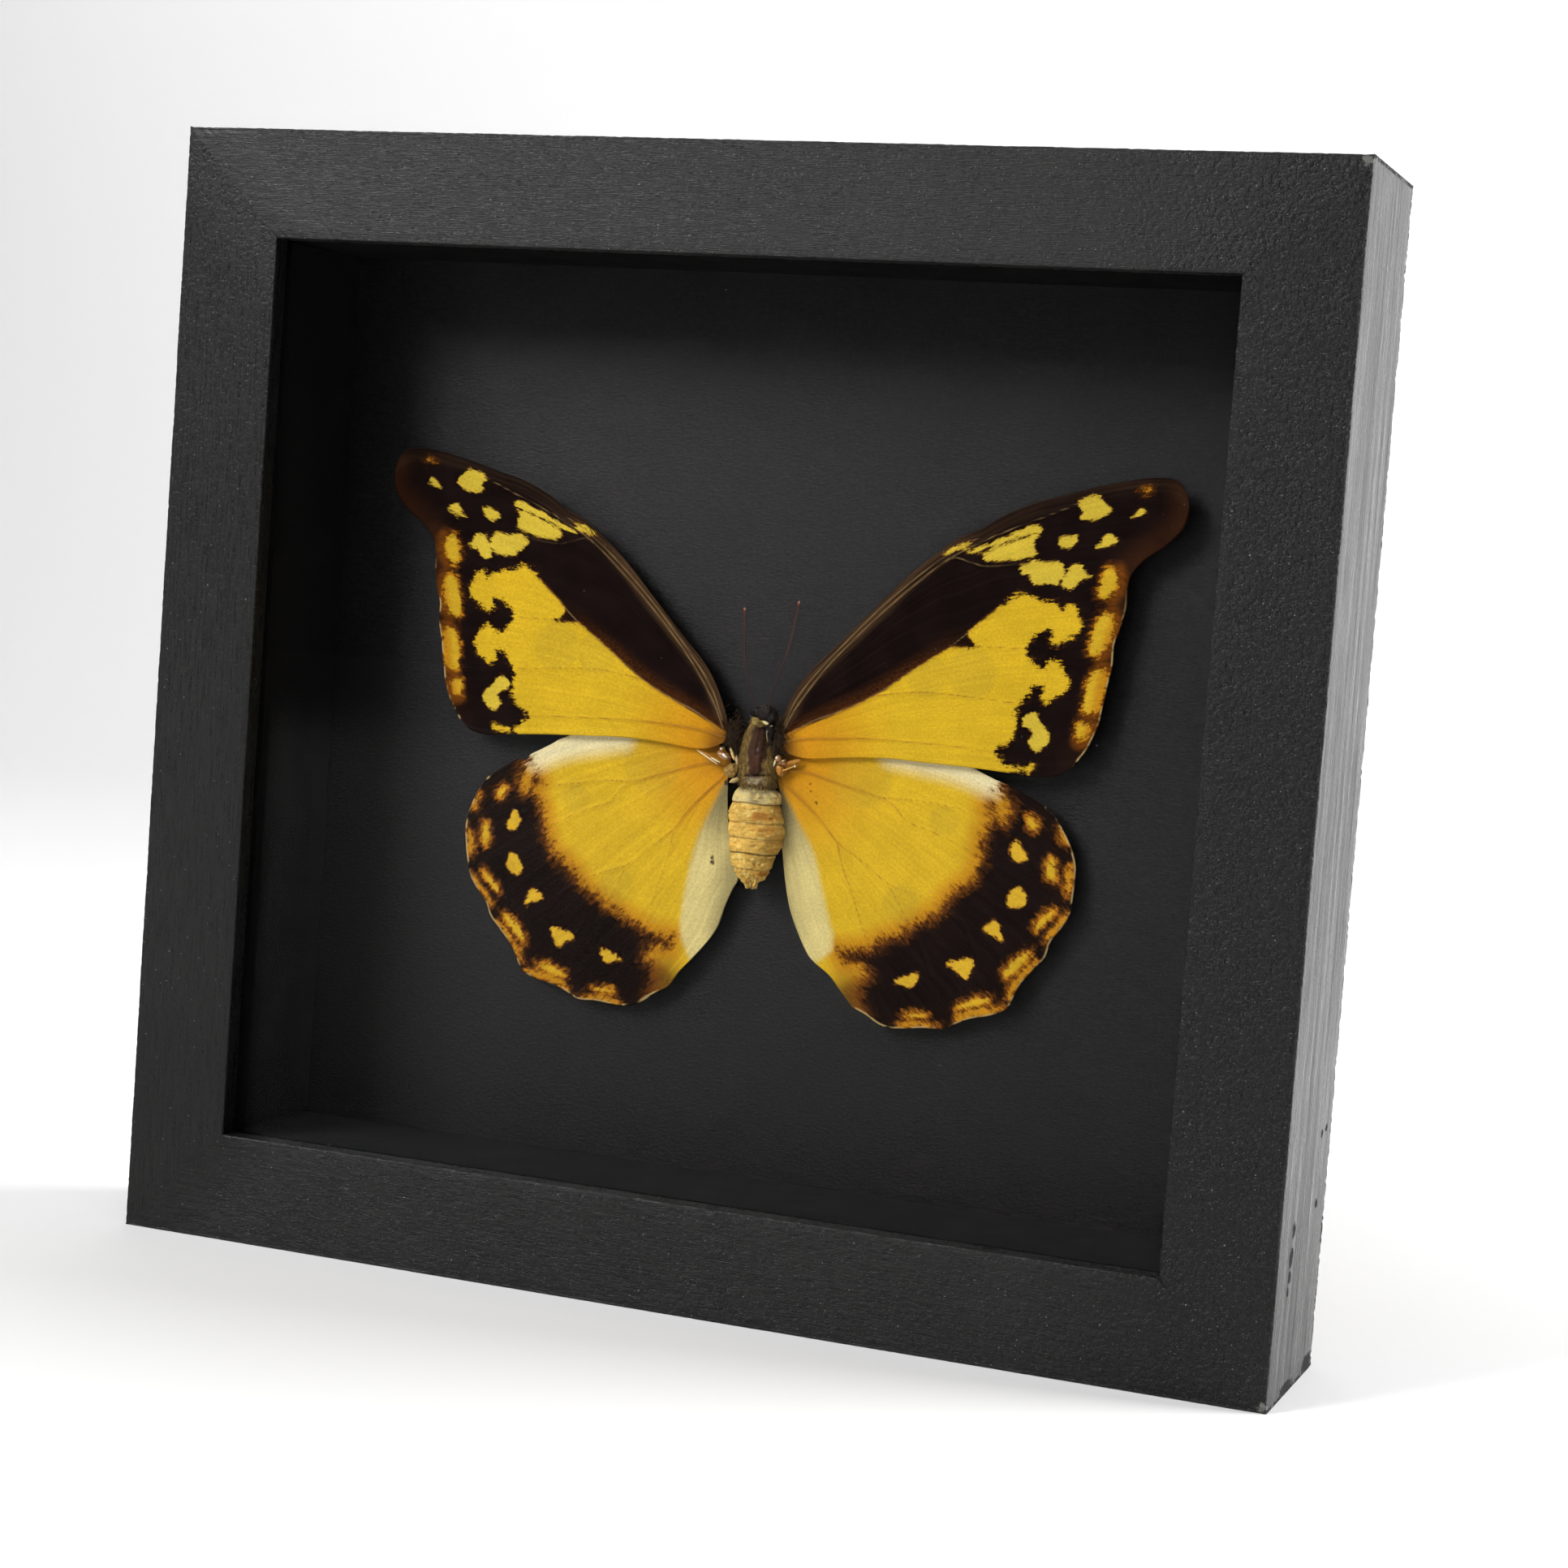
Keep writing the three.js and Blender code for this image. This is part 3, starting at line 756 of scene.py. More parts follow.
@dataclass(frozen=True)
class Swept:
    """Where the points of a rail lie: one row for each repeat of its section.

    Attributes:
        at: Which rail it is.
        along: (rows, columns) distance from the rail's middle, along it.
        mitre: (rows, columns) distance from the nearer mitre, along it.
        across: (1, columns) distance in from the outer edge.
        depth: (1, columns) distance back from the front face.
        edge: (1, columns) distance from the nearest sharp edge.
    """

    at: RailPlace
    along: np.ndarray
    mitre: np.ndarray
    across: np.ndarray
    depth: np.ndarray
    edge: np.ndarray

    def grain(self) -> np.ndarray:
        """(along, across, depth) of each point, far from the next rail's."""
        apart = self.along + GRAIN_APART * self.at.value[1]
        return np.stack(np.broadcast_arrays(apart, self.across, self.depth), -1).reshape(-1, 3)

    def leather_and_painted_light(self) -> np.ndarray:
        """How leathery the paint is, which also sets its painted shade and glints; it rises smoothly towards
        one end of a rail.
        """
        wear = WEAR[self.at]
        return wear.leather_and_painted_light + 0.7 * ease_between(wear.leather_and_painted_light_end * self.along, 55.0, 95.0)

    def rub(self) -> np.ndarray:
        """How rubbed the paint is: at the outer corners, and a touch along the edges."""
        wear = WEAR[self.at]
        from_corner = np.sqrt(self.across**2 + self.depth**2 + self.mitre**2)
        strength = np.where(self.along < 0, wear.worn_start, wear.worn_end)
        corners = strength * (1 - ease_between(from_corner, 0.3, 2.4))
        return np.maximum(corners, 0.22 * np.exp(-((self.edge / 0.35) ** 2)) * (self.across < 1.0))

    def crack(self) -> np.ndarray:
        """A short open slit in a mitre's front, which widens towards the opening; it is drawn only as a dark
        mark, painted shade in the slit.
        """
        here = (np.sign(self.along) * WEAR[self.at].crack_end > 0) & (self.depth < BOX.lip)
        width = 0.3 * ease_between(self.across, BOX.rail_face - 2.6, BOX.rail_face - 0.6)
        return np.where(here, ease_between(width - self.mitre, -0.05, 0.05), 0.0)

    def wander(self) -> tuple[np.ndarray, np.ndarray]:
        """How far the outer edges wander in and back: soft, uneven paint over sawn wood.

        A slow ripple moves a whole outer face, and a fine one nibbles at its edges.
        """
        turn = self.at.value[1]
        close = np.exp(-((self.edge / 0.9) ** 2))
        slow = np.abs(ripple(self.along, 11 + turn, 70.0, 4) * 0.05)
        fine = np.abs(ripple(self.along + 3 * self.across, 31 + turn, 5.0, 7)) * close
        outer, front, back = self.across < 1.0, self.depth < 1.0, self.depth > BOX.depth - 1.0
        inward = np.where(outer, 0.05 + slow, 0.0) + fine * np.where(outer & back, 0.22, 0.07)
        backward = np.where(front, 0.02 + slow * 0.5 + fine * 0.05, 0.0)
        forward = np.where(back, 0.03 + fine * 0.12, 0.0)
        return inward * np.where(self.across > BOX.rail_face / 2, -1.0, 1.0), backward - forward


@dataclass(frozen=True)
class Rails:
    """The four mitred rails, L-shaped in section.

    A rail's section is drawn as (across, depth), across from the outer edge inwards. It is swept
    along the rail and cut at 45 degrees at both ends.

    Attributes:
        edge_radius: How round the outer front edge is.
        inner_radius: How round the edge around the opening is.
        back_radius: How round the back edges are.
        lip_radius: How round the lip's back edge is.
        groove_radius: How round the rebate's inner corner is.
        corner_cuts: How many points a rounded edge has.
        mitre_gap: Half of the gap in a mitre joint.
        stations: How many times the section is repeated along a rail.
        crowding: From 0, stations evenly spread, to 1, crowded to the ends by a cosine.
        sharp: Degrees between faces from which their edge is left hard.
    """

    edge_radius: float = 0.4
    inner_radius: float = 0.3
    back_radius: float = 0.45
    lip_radius: float = 0.12
    groove_radius: float = 0.04
    corner_cuts: int = 5
    mitre_gap: float = 0.005
    stations: int = 330
    crowding: float = 0.45
    sharp: float = 38.0

    def section(self) -> tuple[np.ndarray, np.ndarray]:
        """The section's outline: straight runs, and a rounded curve at each corner.

        A corner's curve leaves it by the radius times (1 - t) squared towards the run before,
        and by the radius times t squared towards the run after, as t goes from 0 to 1.

        Returns:
            The closed outline, and how far each of its points is from a sharp corner.
        """
        wall = BOX.rail_face - BOX.rebate
        corners = [
            (0.0, 0.0, self.edge_radius, 12),
            (BOX.rail_face, 0.0, self.inner_radius, 3),
            (BOX.rail_face, BOX.lip, self.lip_radius, 3),
            (wall, BOX.lip, self.groove_radius, 8),
            (wall, BOX.depth, self.back_radius, 6),
            (0.0, BOX.depth, self.back_radius, 18),
        ]
        outline = []
        for number, (x, y, radius, cuts) in enumerate(corners):
            following = corners[(number + 1) % len(corners)]
            here = np.array([x, y])
            back = np.array(corners[number - 1][:2]) - here
            ahead = np.array(following[:2]) - here
            into, out = back / np.linalg.norm(back), ahead / np.linalg.norm(ahead)
            for t in np.linspace(0.0, 1.0, self.corner_cuts):
                outline.append(here + radius * ((1 - t) ** 2 * into + t**2 * out))
            start = outline[-1]
            stop = np.array(following[:2]) - out * following[2]
            outline += [start + (stop - start) * cut / cuts for cut in range(1, cuts)]
        points = np.array(outline)
        sharp = np.array([corner[:2] for corner in corners])
        return points, np.linalg.norm(points[:, None] - sharp[None], axis=2).min(1)

    def build(self, at: RailPlace) -> Mesh:
        """One rail, drawn as the bottom one and then turned to its place.

        Args:
            at: Which rail it is.

        Returns:
            The closed rail, with the numbers that the paint reads.
        """
        _, turn, level = at.value
        length, box_across = (BOX.width, BOX.height) if level else (BOX.height, BOX.width)
        section, edge = self.section()
        across, depth = section.T[:, None, :]
        even = np.linspace(0.0, 1.0, self.stations)[:, None]
        share = (1 - self.crowding) * even + self.crowding * (0.5 - 0.5 * np.cos(np.pi * even))
        half = length / 2 - across - self.mitre_gap
        along = (2 * share - 1) * half
        swept = Swept(at, along, half - np.abs(along), across, depth, edge[None, :])

        inward, backward = swept.wander()
        flat = np.stack([along, depth + backward, across + inward - box_across / 2], -1)
        x, y, z = flat.reshape(-1, 3).T
        for _ in range(turn):
            x, z = -z, x
        columns = len(section)
        last = (self.stations - 1) * columns
        faces = grid_faces(self.stations, columns, wrap=True)
        faces += [list(range(columns))[::-1], list(range(last, last + columns))]
        values = {
            "grain": swept.grain(),
            "from_mitre": swept.mitre.ravel(),
            "leather_and_painted_light": swept.leather_and_painted_light().ravel(),
            "rub": swept.rub().ravel(),
            "crack": swept.crack().ravel(),
        }
        return Mesh(np.stack([x, y, z], 1), [face[::-1] for face in faces], values)

    def dress(self, finish: bpy.types.Material) -> None:
        """Builds every rail and stands each for its node."""
        for at in RailPlace:
            node = at.value[0]
            rail = self.build(at).to_object("detailed_" + node, finish)
            rail.data.set_sharp_from_angle(angle=math.radians(self.sharp))
            stand_for(rail, node)


def stand_for(obj: bpy.types.Object, node: str) -> None:
    """Lets a piece ride on the frame, in place of a node.

    Args:
        obj: The piece.
        node: The node that it replaces.
    """
    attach(obj, "root")
    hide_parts(node)
    log.info("%s: %d faces", obj.name, len(obj.data.polygons))


# ---------------------------------------------------------------- what is kept from the solids


@dataclass(frozen=True)
class KeptSolids:
    """The glass, spacers, card, back and fittings, which keep their solids.

    Attributes:
        plain: Each plain finish and the nodes that have it.
    """

    plain: tuple[tuple[PlainFinish, tuple[str, ...]], ...] = (
        (
            PlainFinish("Spacer black", (0.0045, 0.0045, 0.0048), 0.82, specular=0.12, streak=0.3),
            ("spacer_top", "spacer_bottom", "spacer_left", "spacer_right"),
        ),
        (
            PlainFinish("Fibreboard", (0.115, 0.07, 0.038), 0.78, specular=0.25, streak=0.16, grit=0.00004),
            ("back_board",),
        ),
        (
            PlainFinish("Tab steel", (0.5, 0.5, 0.49), 0.36, metallic=1.0, streak=0.08),
            tuple(f"board_tab_{number}" for number in range(1, 9)),
        ),
        (PlainFinish("Hanger brass", (0.6, 0.44, 0.19), 0.32, metallic=1.0), ("sawtooth_hanger",)),
        (
            PlainFinish("Nail steel", (0.55, 0.55, 0.53), 0.28, metallic=1.0, streak=0.05),
            ("hanger_nail_left", "hanger_nail_right"),
        ),
        (PlainFinish("Dried glue", (0.66, 0.58, 0.4), 0.28, streak=0.04), ("glue_pad",)),
    )

    def dress(self, effects: Effects) -> None:
        """Gives each kept node its finish, in place of the solid's own."""
        self._paint(PaneGlass().material(), ("glass_pane",))
        self._paint(Card().material(effects), ("mount_card",))
        for finish, nodes in self.plain:
            self._paint(finish.material(effects), nodes)

    @staticmethod
    def _paint(material: bpy.types.Material, nodes: Sequence[str]) -> None:
        """Puts a material into every slot of some nodes."""
        for node in nodes:
            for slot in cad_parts[node].material_slots:
                slot.material = material
            log.info("%s: repainted", node)


# ---------------------------------------------------------------- wing plans
#
# Every outline is drawn for the right wing, as (x, z) in millimetres from the frame's middle.


@dataclass(frozen=True)
class WingPlan:
    """The outline and markings of one right wing.

    Attributes:
        front: The front edge, from the root to the tip.
        outer: The outer edge, from the tip to the rear corner.
        inner: The inner edge, from the root to the rear corner.
        root: From the front edge's start to the inner edge's start.
        field: The large yellow field.
        spots: Yellow marks with clear edges.
        bars: Orange marks with soft edges, near the outer edge.
        veins: The veins' lines.
        fold: The cream fold along the inner edge, if there is one.
        pale: The line of the pale strip, or of the glow beside the dark field.
        ghosts: (x, z, radius) of the marks of the underside that show through faintly.
        depth: How deep in the box the wing lies.
        columns: Grid points from the root to the outer edge.
        rows: Grid points from the inner edge to the front edge.
    """

    front: Outline
    outer: Outline
    inner: Outline
    root: Outline
    field: Outline
    spots: tuple[Outline, ...]
    bars: tuple[Outline, ...]
    veins: tuple[Outline, ...]
    fold: Outline
    pale: Outline
    ghosts: tuple[Triple, ...]
    depth: float
    columns: int = 196
    rows: int = 138


FOREWING = WingPlan(
    front=(
        (4.9, 3.0), (7.0, 7.5), (9.5, 11.0), (13, 14.7), (20, 22.2), (25, 27.5), (30, 31.9), (33, 34.2),
        (36.5, 35.8), (40, 38.1), (45, 40.6), (50, 42.1), (55, 43.7), (60, 45.0), (65, 45.9), (68.5, 45.6),
        (70.3, 43.6),
    ),
    outer=(
        (70.3, 43.6), (70.8, 41.1), (70, 38.1), (67.5, 35.2), (64.5, 33), (62.5, 30.7), (61.8, 28.2),
        (61.8, 25.2), (61.2, 21.9), (60.4, 19.0), (60.4, 15.7), (59.8, 12.3), (59.3, 9.0), (58.8, 5.9),
        (57.5, 2.5), (55.5, -0.8),
    ),
    inner=(
        (4.6, -2.6), (7, -3.6), (10, -3.9), (15, -3.3), (20, -2.8), (25, -2.6), (30, -2.7), (38, -2.8),
        (45, -3.1), (49.5, -3.4), (53, -2.7), (55.5, -0.8),
    ),
    root=((4.9, 3.0), (4.1, 0.2), (4.6, -2.6)),
    field=(
        (4.9, -0.6), (14.7, 4.2), (20.5, 7.3), (23.8, 9.6), (27.2, 12.3), (32.6, 16.1), (33.6, 16.5),
        (37.6, 16.8), (36.4, 18.0), (36.1, 19.3), (39.7, 22.5), (42.2, 24.8), (43.8, 25.8), (45.5, 25.8),
        (47.2, 25.2), (50.1, 24.8), (51.5, 23.8), (52, 24.8), (53.2, 24.8), (54, 23.2), (54.8, 21.5),
        (54.2, 20.2), (52.6, 19.3), (50.9, 18.1), (50, 18.9), (50.1, 20.2), (48.8, 20.4), (47.6, 19.8),
        (46.5, 18.4),
        (45.7, 17.1), (46.5, 15.7), (48, 14.5), (49.5, 14.5), (50.1, 15.7), (51.1, 15.8), (52.2, 14.4),
        (53.3, 12.3), (52.6, 10.7), (51.1, 9.6), (49.7, 8.9), (49, 9.8), (49.2, 11.3), (47.6, 11.3),
        (46.8, 10), (45.9, 8.8), (45.1, 8), (45, 6.1), (45.1, 4.2), (44.5, 2.5), (43.2, 1.3), (41.8, 0.2),
        (42.8, -1), (43.8, -1.9), (46.3, -2), (48.2, -1.4), (48.7, -1.9), (47.6, -2.6), (43.8, -2.9),
        (43, -4.5), (25, -5.5), (8, -5), (3, -2),
    ),
    spots=(
        ((37.3, 31.6), (38.2, 32.4), (40.1, 33.4), (43, 34.6), (46.4, 35.8), (45.7, 34.6), (46, 33.5),
         (46.2, 32.6), (45, 31.9), (42.5, 31.3), (40, 30.9), (38.2, 30.8)),
        ((34.6, 31.9), (37, 33.2), (40.5, 34.8), (43.4, 36.2), (45.3, 37), (46.6, 36.9), (46.6, 36.1),
         (43, 34.9), (40, 33.8), (37, 32.5)),
        ((30.4, 31.4), (33, 33.1), (35.4, 33.9), (34.4, 32.8), (32.2, 31.8)),
        ((43.7, 30.2), (44.6, 31), (45.9, 31.5), (48, 31.3), (50.3, 31.5), (51.3, 30), (50.6, 28.6),
         (50.1, 28), (47.6, 27.8), (46.3, 27.8), (45.7, 28.6), (44.2, 29.5)),
        ((51.7, 29.9), (51.9, 30.6), (52.6, 31.3), (54, 31.1), (54.7, 30.2), (55.6, 29.5), (53.8, 28.6),
         (52.6, 27.5), (51.1, 27.5), (50.8, 28.2)),
        ((52.8, 41.3), (54, 42.1), (55.7, 42.4), (57.2, 41.5), (58.1, 40.3), (56.8, 39.2), (55.1, 38.6),
         (53.2, 38.7), (53.4, 40)),
        ((49.8, 34.6), (50.7, 35.7), (52.2, 35.8), (52.9, 35.8), (52.6, 34.6), (51.8, 33.9), (50.3, 33.9)),
        ((56.2, 34.2), (57, 35), (58, 36.5), (59.6, 35.5), (58.2, 34.6), (57.2, 34.2)),
        ((61.3, 39.3), (62.4, 40.2), (62.8, 40.9), (63.8, 40.2), (62.6, 39.6)),
        ((46.1, 5.7), (47, 6.7), (48.2, 6.9), (49, 5.7), (50.6, 4), (50.8, 2.8), (49.7, 1.3), (48.2, 1.1),
         (47.4, 2.3), (48, 3.2), (47.8, 4), (46.5, 4.8)),
    ),
    bars=(
        ((58, 31.1), (59.9, 30.7), (60.1, 28.2), (58.6, 26.1), (57.2, 26.3), (57, 28.2)),
        ((58, 24), (59.7, 23.6), (59.9, 19.8), (58, 17.1), (56.3, 17.1), (56.3, 19.8), (57, 22.3)),
        ((57.4, 14.8), (59.7, 14.4), (59.5, 10.7), (58.4, 8), (56.1, 7.8), (56.1, 11.5)),
        ((55.3, 6.1), (56.6, 6.1), (57.6, 5.5), (56.9, 3.4), (55.5, 3.4), (55, 4.8)),
        ((62.9, 43.75), (63.8, 44.15), (64.6, 43.9), (63.8, 43.6)),
    ),
    veins=(
        ((5.2, 1.2), (7.6, 6.6), (12.8, 13.3), (20, 21.2), (26, 26.9), (31, 31.2), (36.5, 34.6)),
        ((5, -0.2), (7.3, 4.6), (12.5, 12.0), (20, 20.2), (26, 25.9), (31, 30.3), (35, 32.8), (40, 35.4),
         (46, 38), (53, 41.2)),
        ((5, -0.9), (10, 2.2), (14.7, 4.3), (20.5, 7.4), (27.2, 12.3), (32.6, 16.1), (39.7, 22.5),
         (43.8, 25.8)),
        ((32.6, 16.1), (38, 16.9), (46, 17.2)),
        ((20.5, 7.4), (26, 8.4), (32, 8.8), (45, 8.3)),
        ((5, -1.7), (10, -0.6), (20, 0.3), (30, 0.4), (42, 0.3)),
        ((31, 30.3), (33, 31), (38, 30), (45, 31)),
    ),
    fold=(),
    pale=((5.5, -0.3), (10, 2.2), (14, 4.4), (18, 6.3), (22, 8.8), (26, 11.7), (29, 13.8), (33, 16.8),
          (36.2, 19.4), (39.8, 22.7)),
    ghosts=((29.5, 11.5, 3.6), (37, 12.5, 4.2)),
    depth=26.05,
)

HINDWING = WingPlan(
    front=(
        (4.4, -4.6), (6, -3.2), (12, -0.7), (20, 0.2), (30, -0.4), (36, -1.9), (38, -2.8), (42, -4.4),
        (45, -5.3), (48, -6.6), (51, -8.1),
    ),
    outer=(
        (51, -8.1), (53, -10.1), (55.2, -13.4), (56.5, -16.6), (56.7, -19.1), (56.6, -22.6), (56.3, -25.1),
        (55, -27.6), (53.5, -29.8), (52.8, -32.3), (51.2, -34.4), (49, -37.3), (47.7, -40.5), (47, -41.6),
        (44.5, -42.9), (41, -43.9), (38.5, -45.1), (36.5, -46.2), (33, -46.4), (30, -46.9), (27, -47.1),
        (25, -46.6), (23, -45.5), (20.5, -44.4),
    ),
    inner=(
        (4.2, -7.3), (5.2, -11.6), (5.7, -15.1), (6, -19.1), (6.8, -23.7), (8, -28.7), (9.5, -32.3),
        (11.5, -35.9), (13, -37.6), (16, -39.6), (18.5, -42.3), (20.5, -44.4),
    ),
    root=((4.4, -4.6), (3.9, -6), (4.2, -7.3)),
    field=(
        (-5, 5), (25, 6), (44, 4), (42.3, -5.1), (41.8, -6), (43.2, -6.6), (44.1, -8), (44.7, -9.4),
        (44.1, -10.8), (43.1, -10), (42.5, -8.4), (41.2, -7.8), (40.7, -9.4), (41.4, -10.3), (42.1, -11.2),
        (41, -12.3), (40.5, -13.7), (40.3, -15.9), (40.1, -18), (39.6, -19.8), (38.4, -21.6), (36.6, -23),
        (34.8, -25.1), (33.7, -26.9), (31.2, -28.4), (29.1, -29.8), (26.6, -31.4), (24.1, -32.8),
        (21.6, -34.1), (19.1, -34.8), (16.9, -35.1), (17.5, -35.9), (18.4, -37.8), (20.7, -37.5),
        (22.3, -38.9), (20.9, -40.1), (20.9, -42.3), (21.2, -44.1), (21, -48), (0, -48),
    ),
    spots=(
        ((46.4, -13.9), (47.1, -14.8), (48.3, -16.6), (47.1, -17.5), (46, -16.8), (45.5, -15.1)),
        ((47.1, -21.6), (48.4, -22.3), (48.9, -23.7), (47.5, -25.1), (46, -24.6), (45.8, -23)),
        ((41.9, -28.9), (43.4, -27.6), (44.4, -27.8), (45.3, -29.2), (45.4, -30.5), (44.1, -29.8),
         (42.6, -29.4)),
        ((36.2, -35.5), (38, -34.8), (40.7, -33.9), (40.5, -35.9), (39.6, -37.3), (38, -36.4)),
        ((27.5, -39.4), (29.4, -38.2), (31.5, -37.5), (30.9, -39.6), (30.1, -40.1), (29.1, -39.6)),
    ),
    bars=(
        ((47.8, -9.8), (48.9, -10.1), (50, -11.2), (49.1, -12.1), (48, -11.2)),
        ((53.2, -11.2), (54.4, -12.1), (55.3, -13.7), (54.1, -13.4)),
        ((52.1, -16), (53.2, -16.6), (53.5, -18.7), (53.2, -20.1), (51.9, -19.4), (51.6, -18.2)),
        ((56, -17.3), (56.5, -19.4), (55.9, -21.8), (55.1, -20.5), (55.1, -18.4)),
        ((53.9, -24.4), (53.5, -25.7), (51.9, -27.8), (50.9, -28.5), (50.7, -27.3), (52.3, -25.3)),
        ((56, -25), (55.1, -27.3), (53.7, -28.7), (52.6, -30), (52.8, -28.4), (54.4, -26.6)),
        ((50, -31.6), (50, -32.8), (48.5, -35), (46.6, -36.6), (46, -35.5), (47.5, -33.2)),
        ((51.6, -33.4), (50.5, -35.1), (48.7, -37.6), (47.5, -40), (47.1, -39.1), (48.4, -36.2),
         (50.1, -34.1)),
        ((44.4, -40.1), (43.7, -41), (40.9, -42.3), (38.7, -42.6), (38.9, -41.8), (41.6, -40.3)),
        ((46.6, -41.4), (44.4, -42.6), (40.9, -43.7), (38.4, -45), (39.1, -43.5), (41.9, -42.1)),
        ((33.5, -44.1), (33, -44.8), (30.1, -45.1), (29.4, -44.6), (31.2, -44.1)),
        ((35.9, -46), (33, -46.2), (29.4, -46.8), (28.7, -46.4), (31.6, -45.6)),
    ),
    veins=(
        ((5, -6.5), (8.7, -6.2), (14.4, -7.4), (19.4, -8.5), (23, -9.2), (28.4, -9.1), (37.3, -9.8)),
        ((23, -9.2), (25.1, -10.3), (27.6, -12.7), (31.2, -13.7), (34.4, -14.8), (39.4, -16.6)),
        ((5, -8), (11.9, -13.4), (15.7, -17.3), (20.9, -20.5), (25.1, -23.3), (30.1, -24.6), (33.7, -25.9),
         (38.4, -28.5), (41, -33)),
        ((15.7, -17.3), (16.9, -21.2), (18.7, -25.1), (22, -33), (25, -40)),
        ((25.1, -23.3), (27.3, -26.6), (29.1, -29.4), (31.2, -32.3), (34, -38)),
    ),
    fold=(
        (3, -8.2), (5.3, -9.8), (8.7, -14.8), (11.6, -19.4), (13.4, -24.8), (15.1, -30.1), (16.2, -33.7),
        (15.4, -36.2), (10, -39), (0, -36), (0, -10),
    ),
    pale=((24.5, -1.5), (30, -2.2), (36, -3.1), (41.5, -4.8)),
    ghosts=((19, -6, 5.5), (34, -12, 2.6), (27.5, -26.5, 3.2)),
    depth=27.15,
)


@dataclass(frozen=True)
class WingSet:
    """How a wing is set: which side it is on and how its plan is moved there.

    Attributes:
        side: 1 for the right and -1 for the left.
        x_row: How the plan's x and z, and a shift, give the distance from the middle.
        z_row: How they give the height.
        inner: The wing's own inner edge in the frame, if it differs from the plan's.
        fold: Its own cream fold in the frame, if it differs.
        stains: (x, z, radius) of dark specks, in the frame.
        nick: A nick's place on the edge and how far it pushes the edge in, both in the frame.
        seed: Moves the noise, so that no two wings are alike.
    """

    side: int = 1
    x_row: Triple = (1.0, 0.0, 0.0)
    z_row: Triple = (0.0, 1.0, 0.0)
    inner: Outline = ()
    fold: Outline = ()
    stains: tuple[Triple, ...] = ()
    nick: Outline = ()
    seed: int = 0

    def to_frame(self, points: np.ndarray) -> np.ndarray:
        """Moves plan points to the frame."""
        rows = np.array([self.x_row, self.z_row])
        moved = points @ rows[:, :2].T + rows[:, 2]
        return moved * np.array([self.side, 1.0])

    def to_plan(self, points: Outline) -> np.ndarray:
        """Moves points of the frame back to the plan."""
        rows = np.array([self.x_row, self.z_row])
        back = np.asarray(points, float) * np.array([self.side, 1.0]) - rows[:, 2]
        return back @ np.linalg.inv(rows[:, :2]).T


RIGHT_SET = WingSet()
RIGHT_HINDWING_SET = WingSet(stains=((10.2, -8.2, 0.2), (11.5, -11.2, 0.22), (10.4, -9.4, 0.12)))
LEFT_FOREWING_SET = WingSet(-1, (0.975, 0.015, 0.8), (-0.041, 0.995, 0.25), seed=3)
LEFT_HINDWING_SET = WingSet(
    -1,
    (0.957, 0.155, 1.4),
    (-0.092, 1.001, 0.6),
    inner=(
        (-4.6, -8.0), (-4.3, -13), (-3.6, -17.5), (-2.4, -21.5), (-1.5, -25.1), (-2.4, -27.2), (-3.5, -30.1),
        (-4.4, -33.3), (-5.5, -35.4), (-7.1, -37.6), (-9.2, -40.1), (-11, -42.2), (-12.6, -44.7),
        (-14.1, -45.7),
    ),
    fold=(
        (-4, -8.8), (-6.9, -13.3), (-9.2, -19), (-10.3, -24), (-11, -29.4), (-11.3, -33.5), (-10.6, -37),
        (-7, -41), (5, -40), (5, -10),
    ),
    stains=((-6.4, -22.2, 0.3), (-6.3, -23.0, 0.35), (-4.6, -9.3, 0.6), (-4.2, -8.7, 0.35)),
    nick=((-42.6, -7.9), (0.7, -1.3)),
    seed=7,
)


WING_ROOT = (4.3, -3.5)
OUTSIDE = -9.0  # the distance inside a mark that is far away


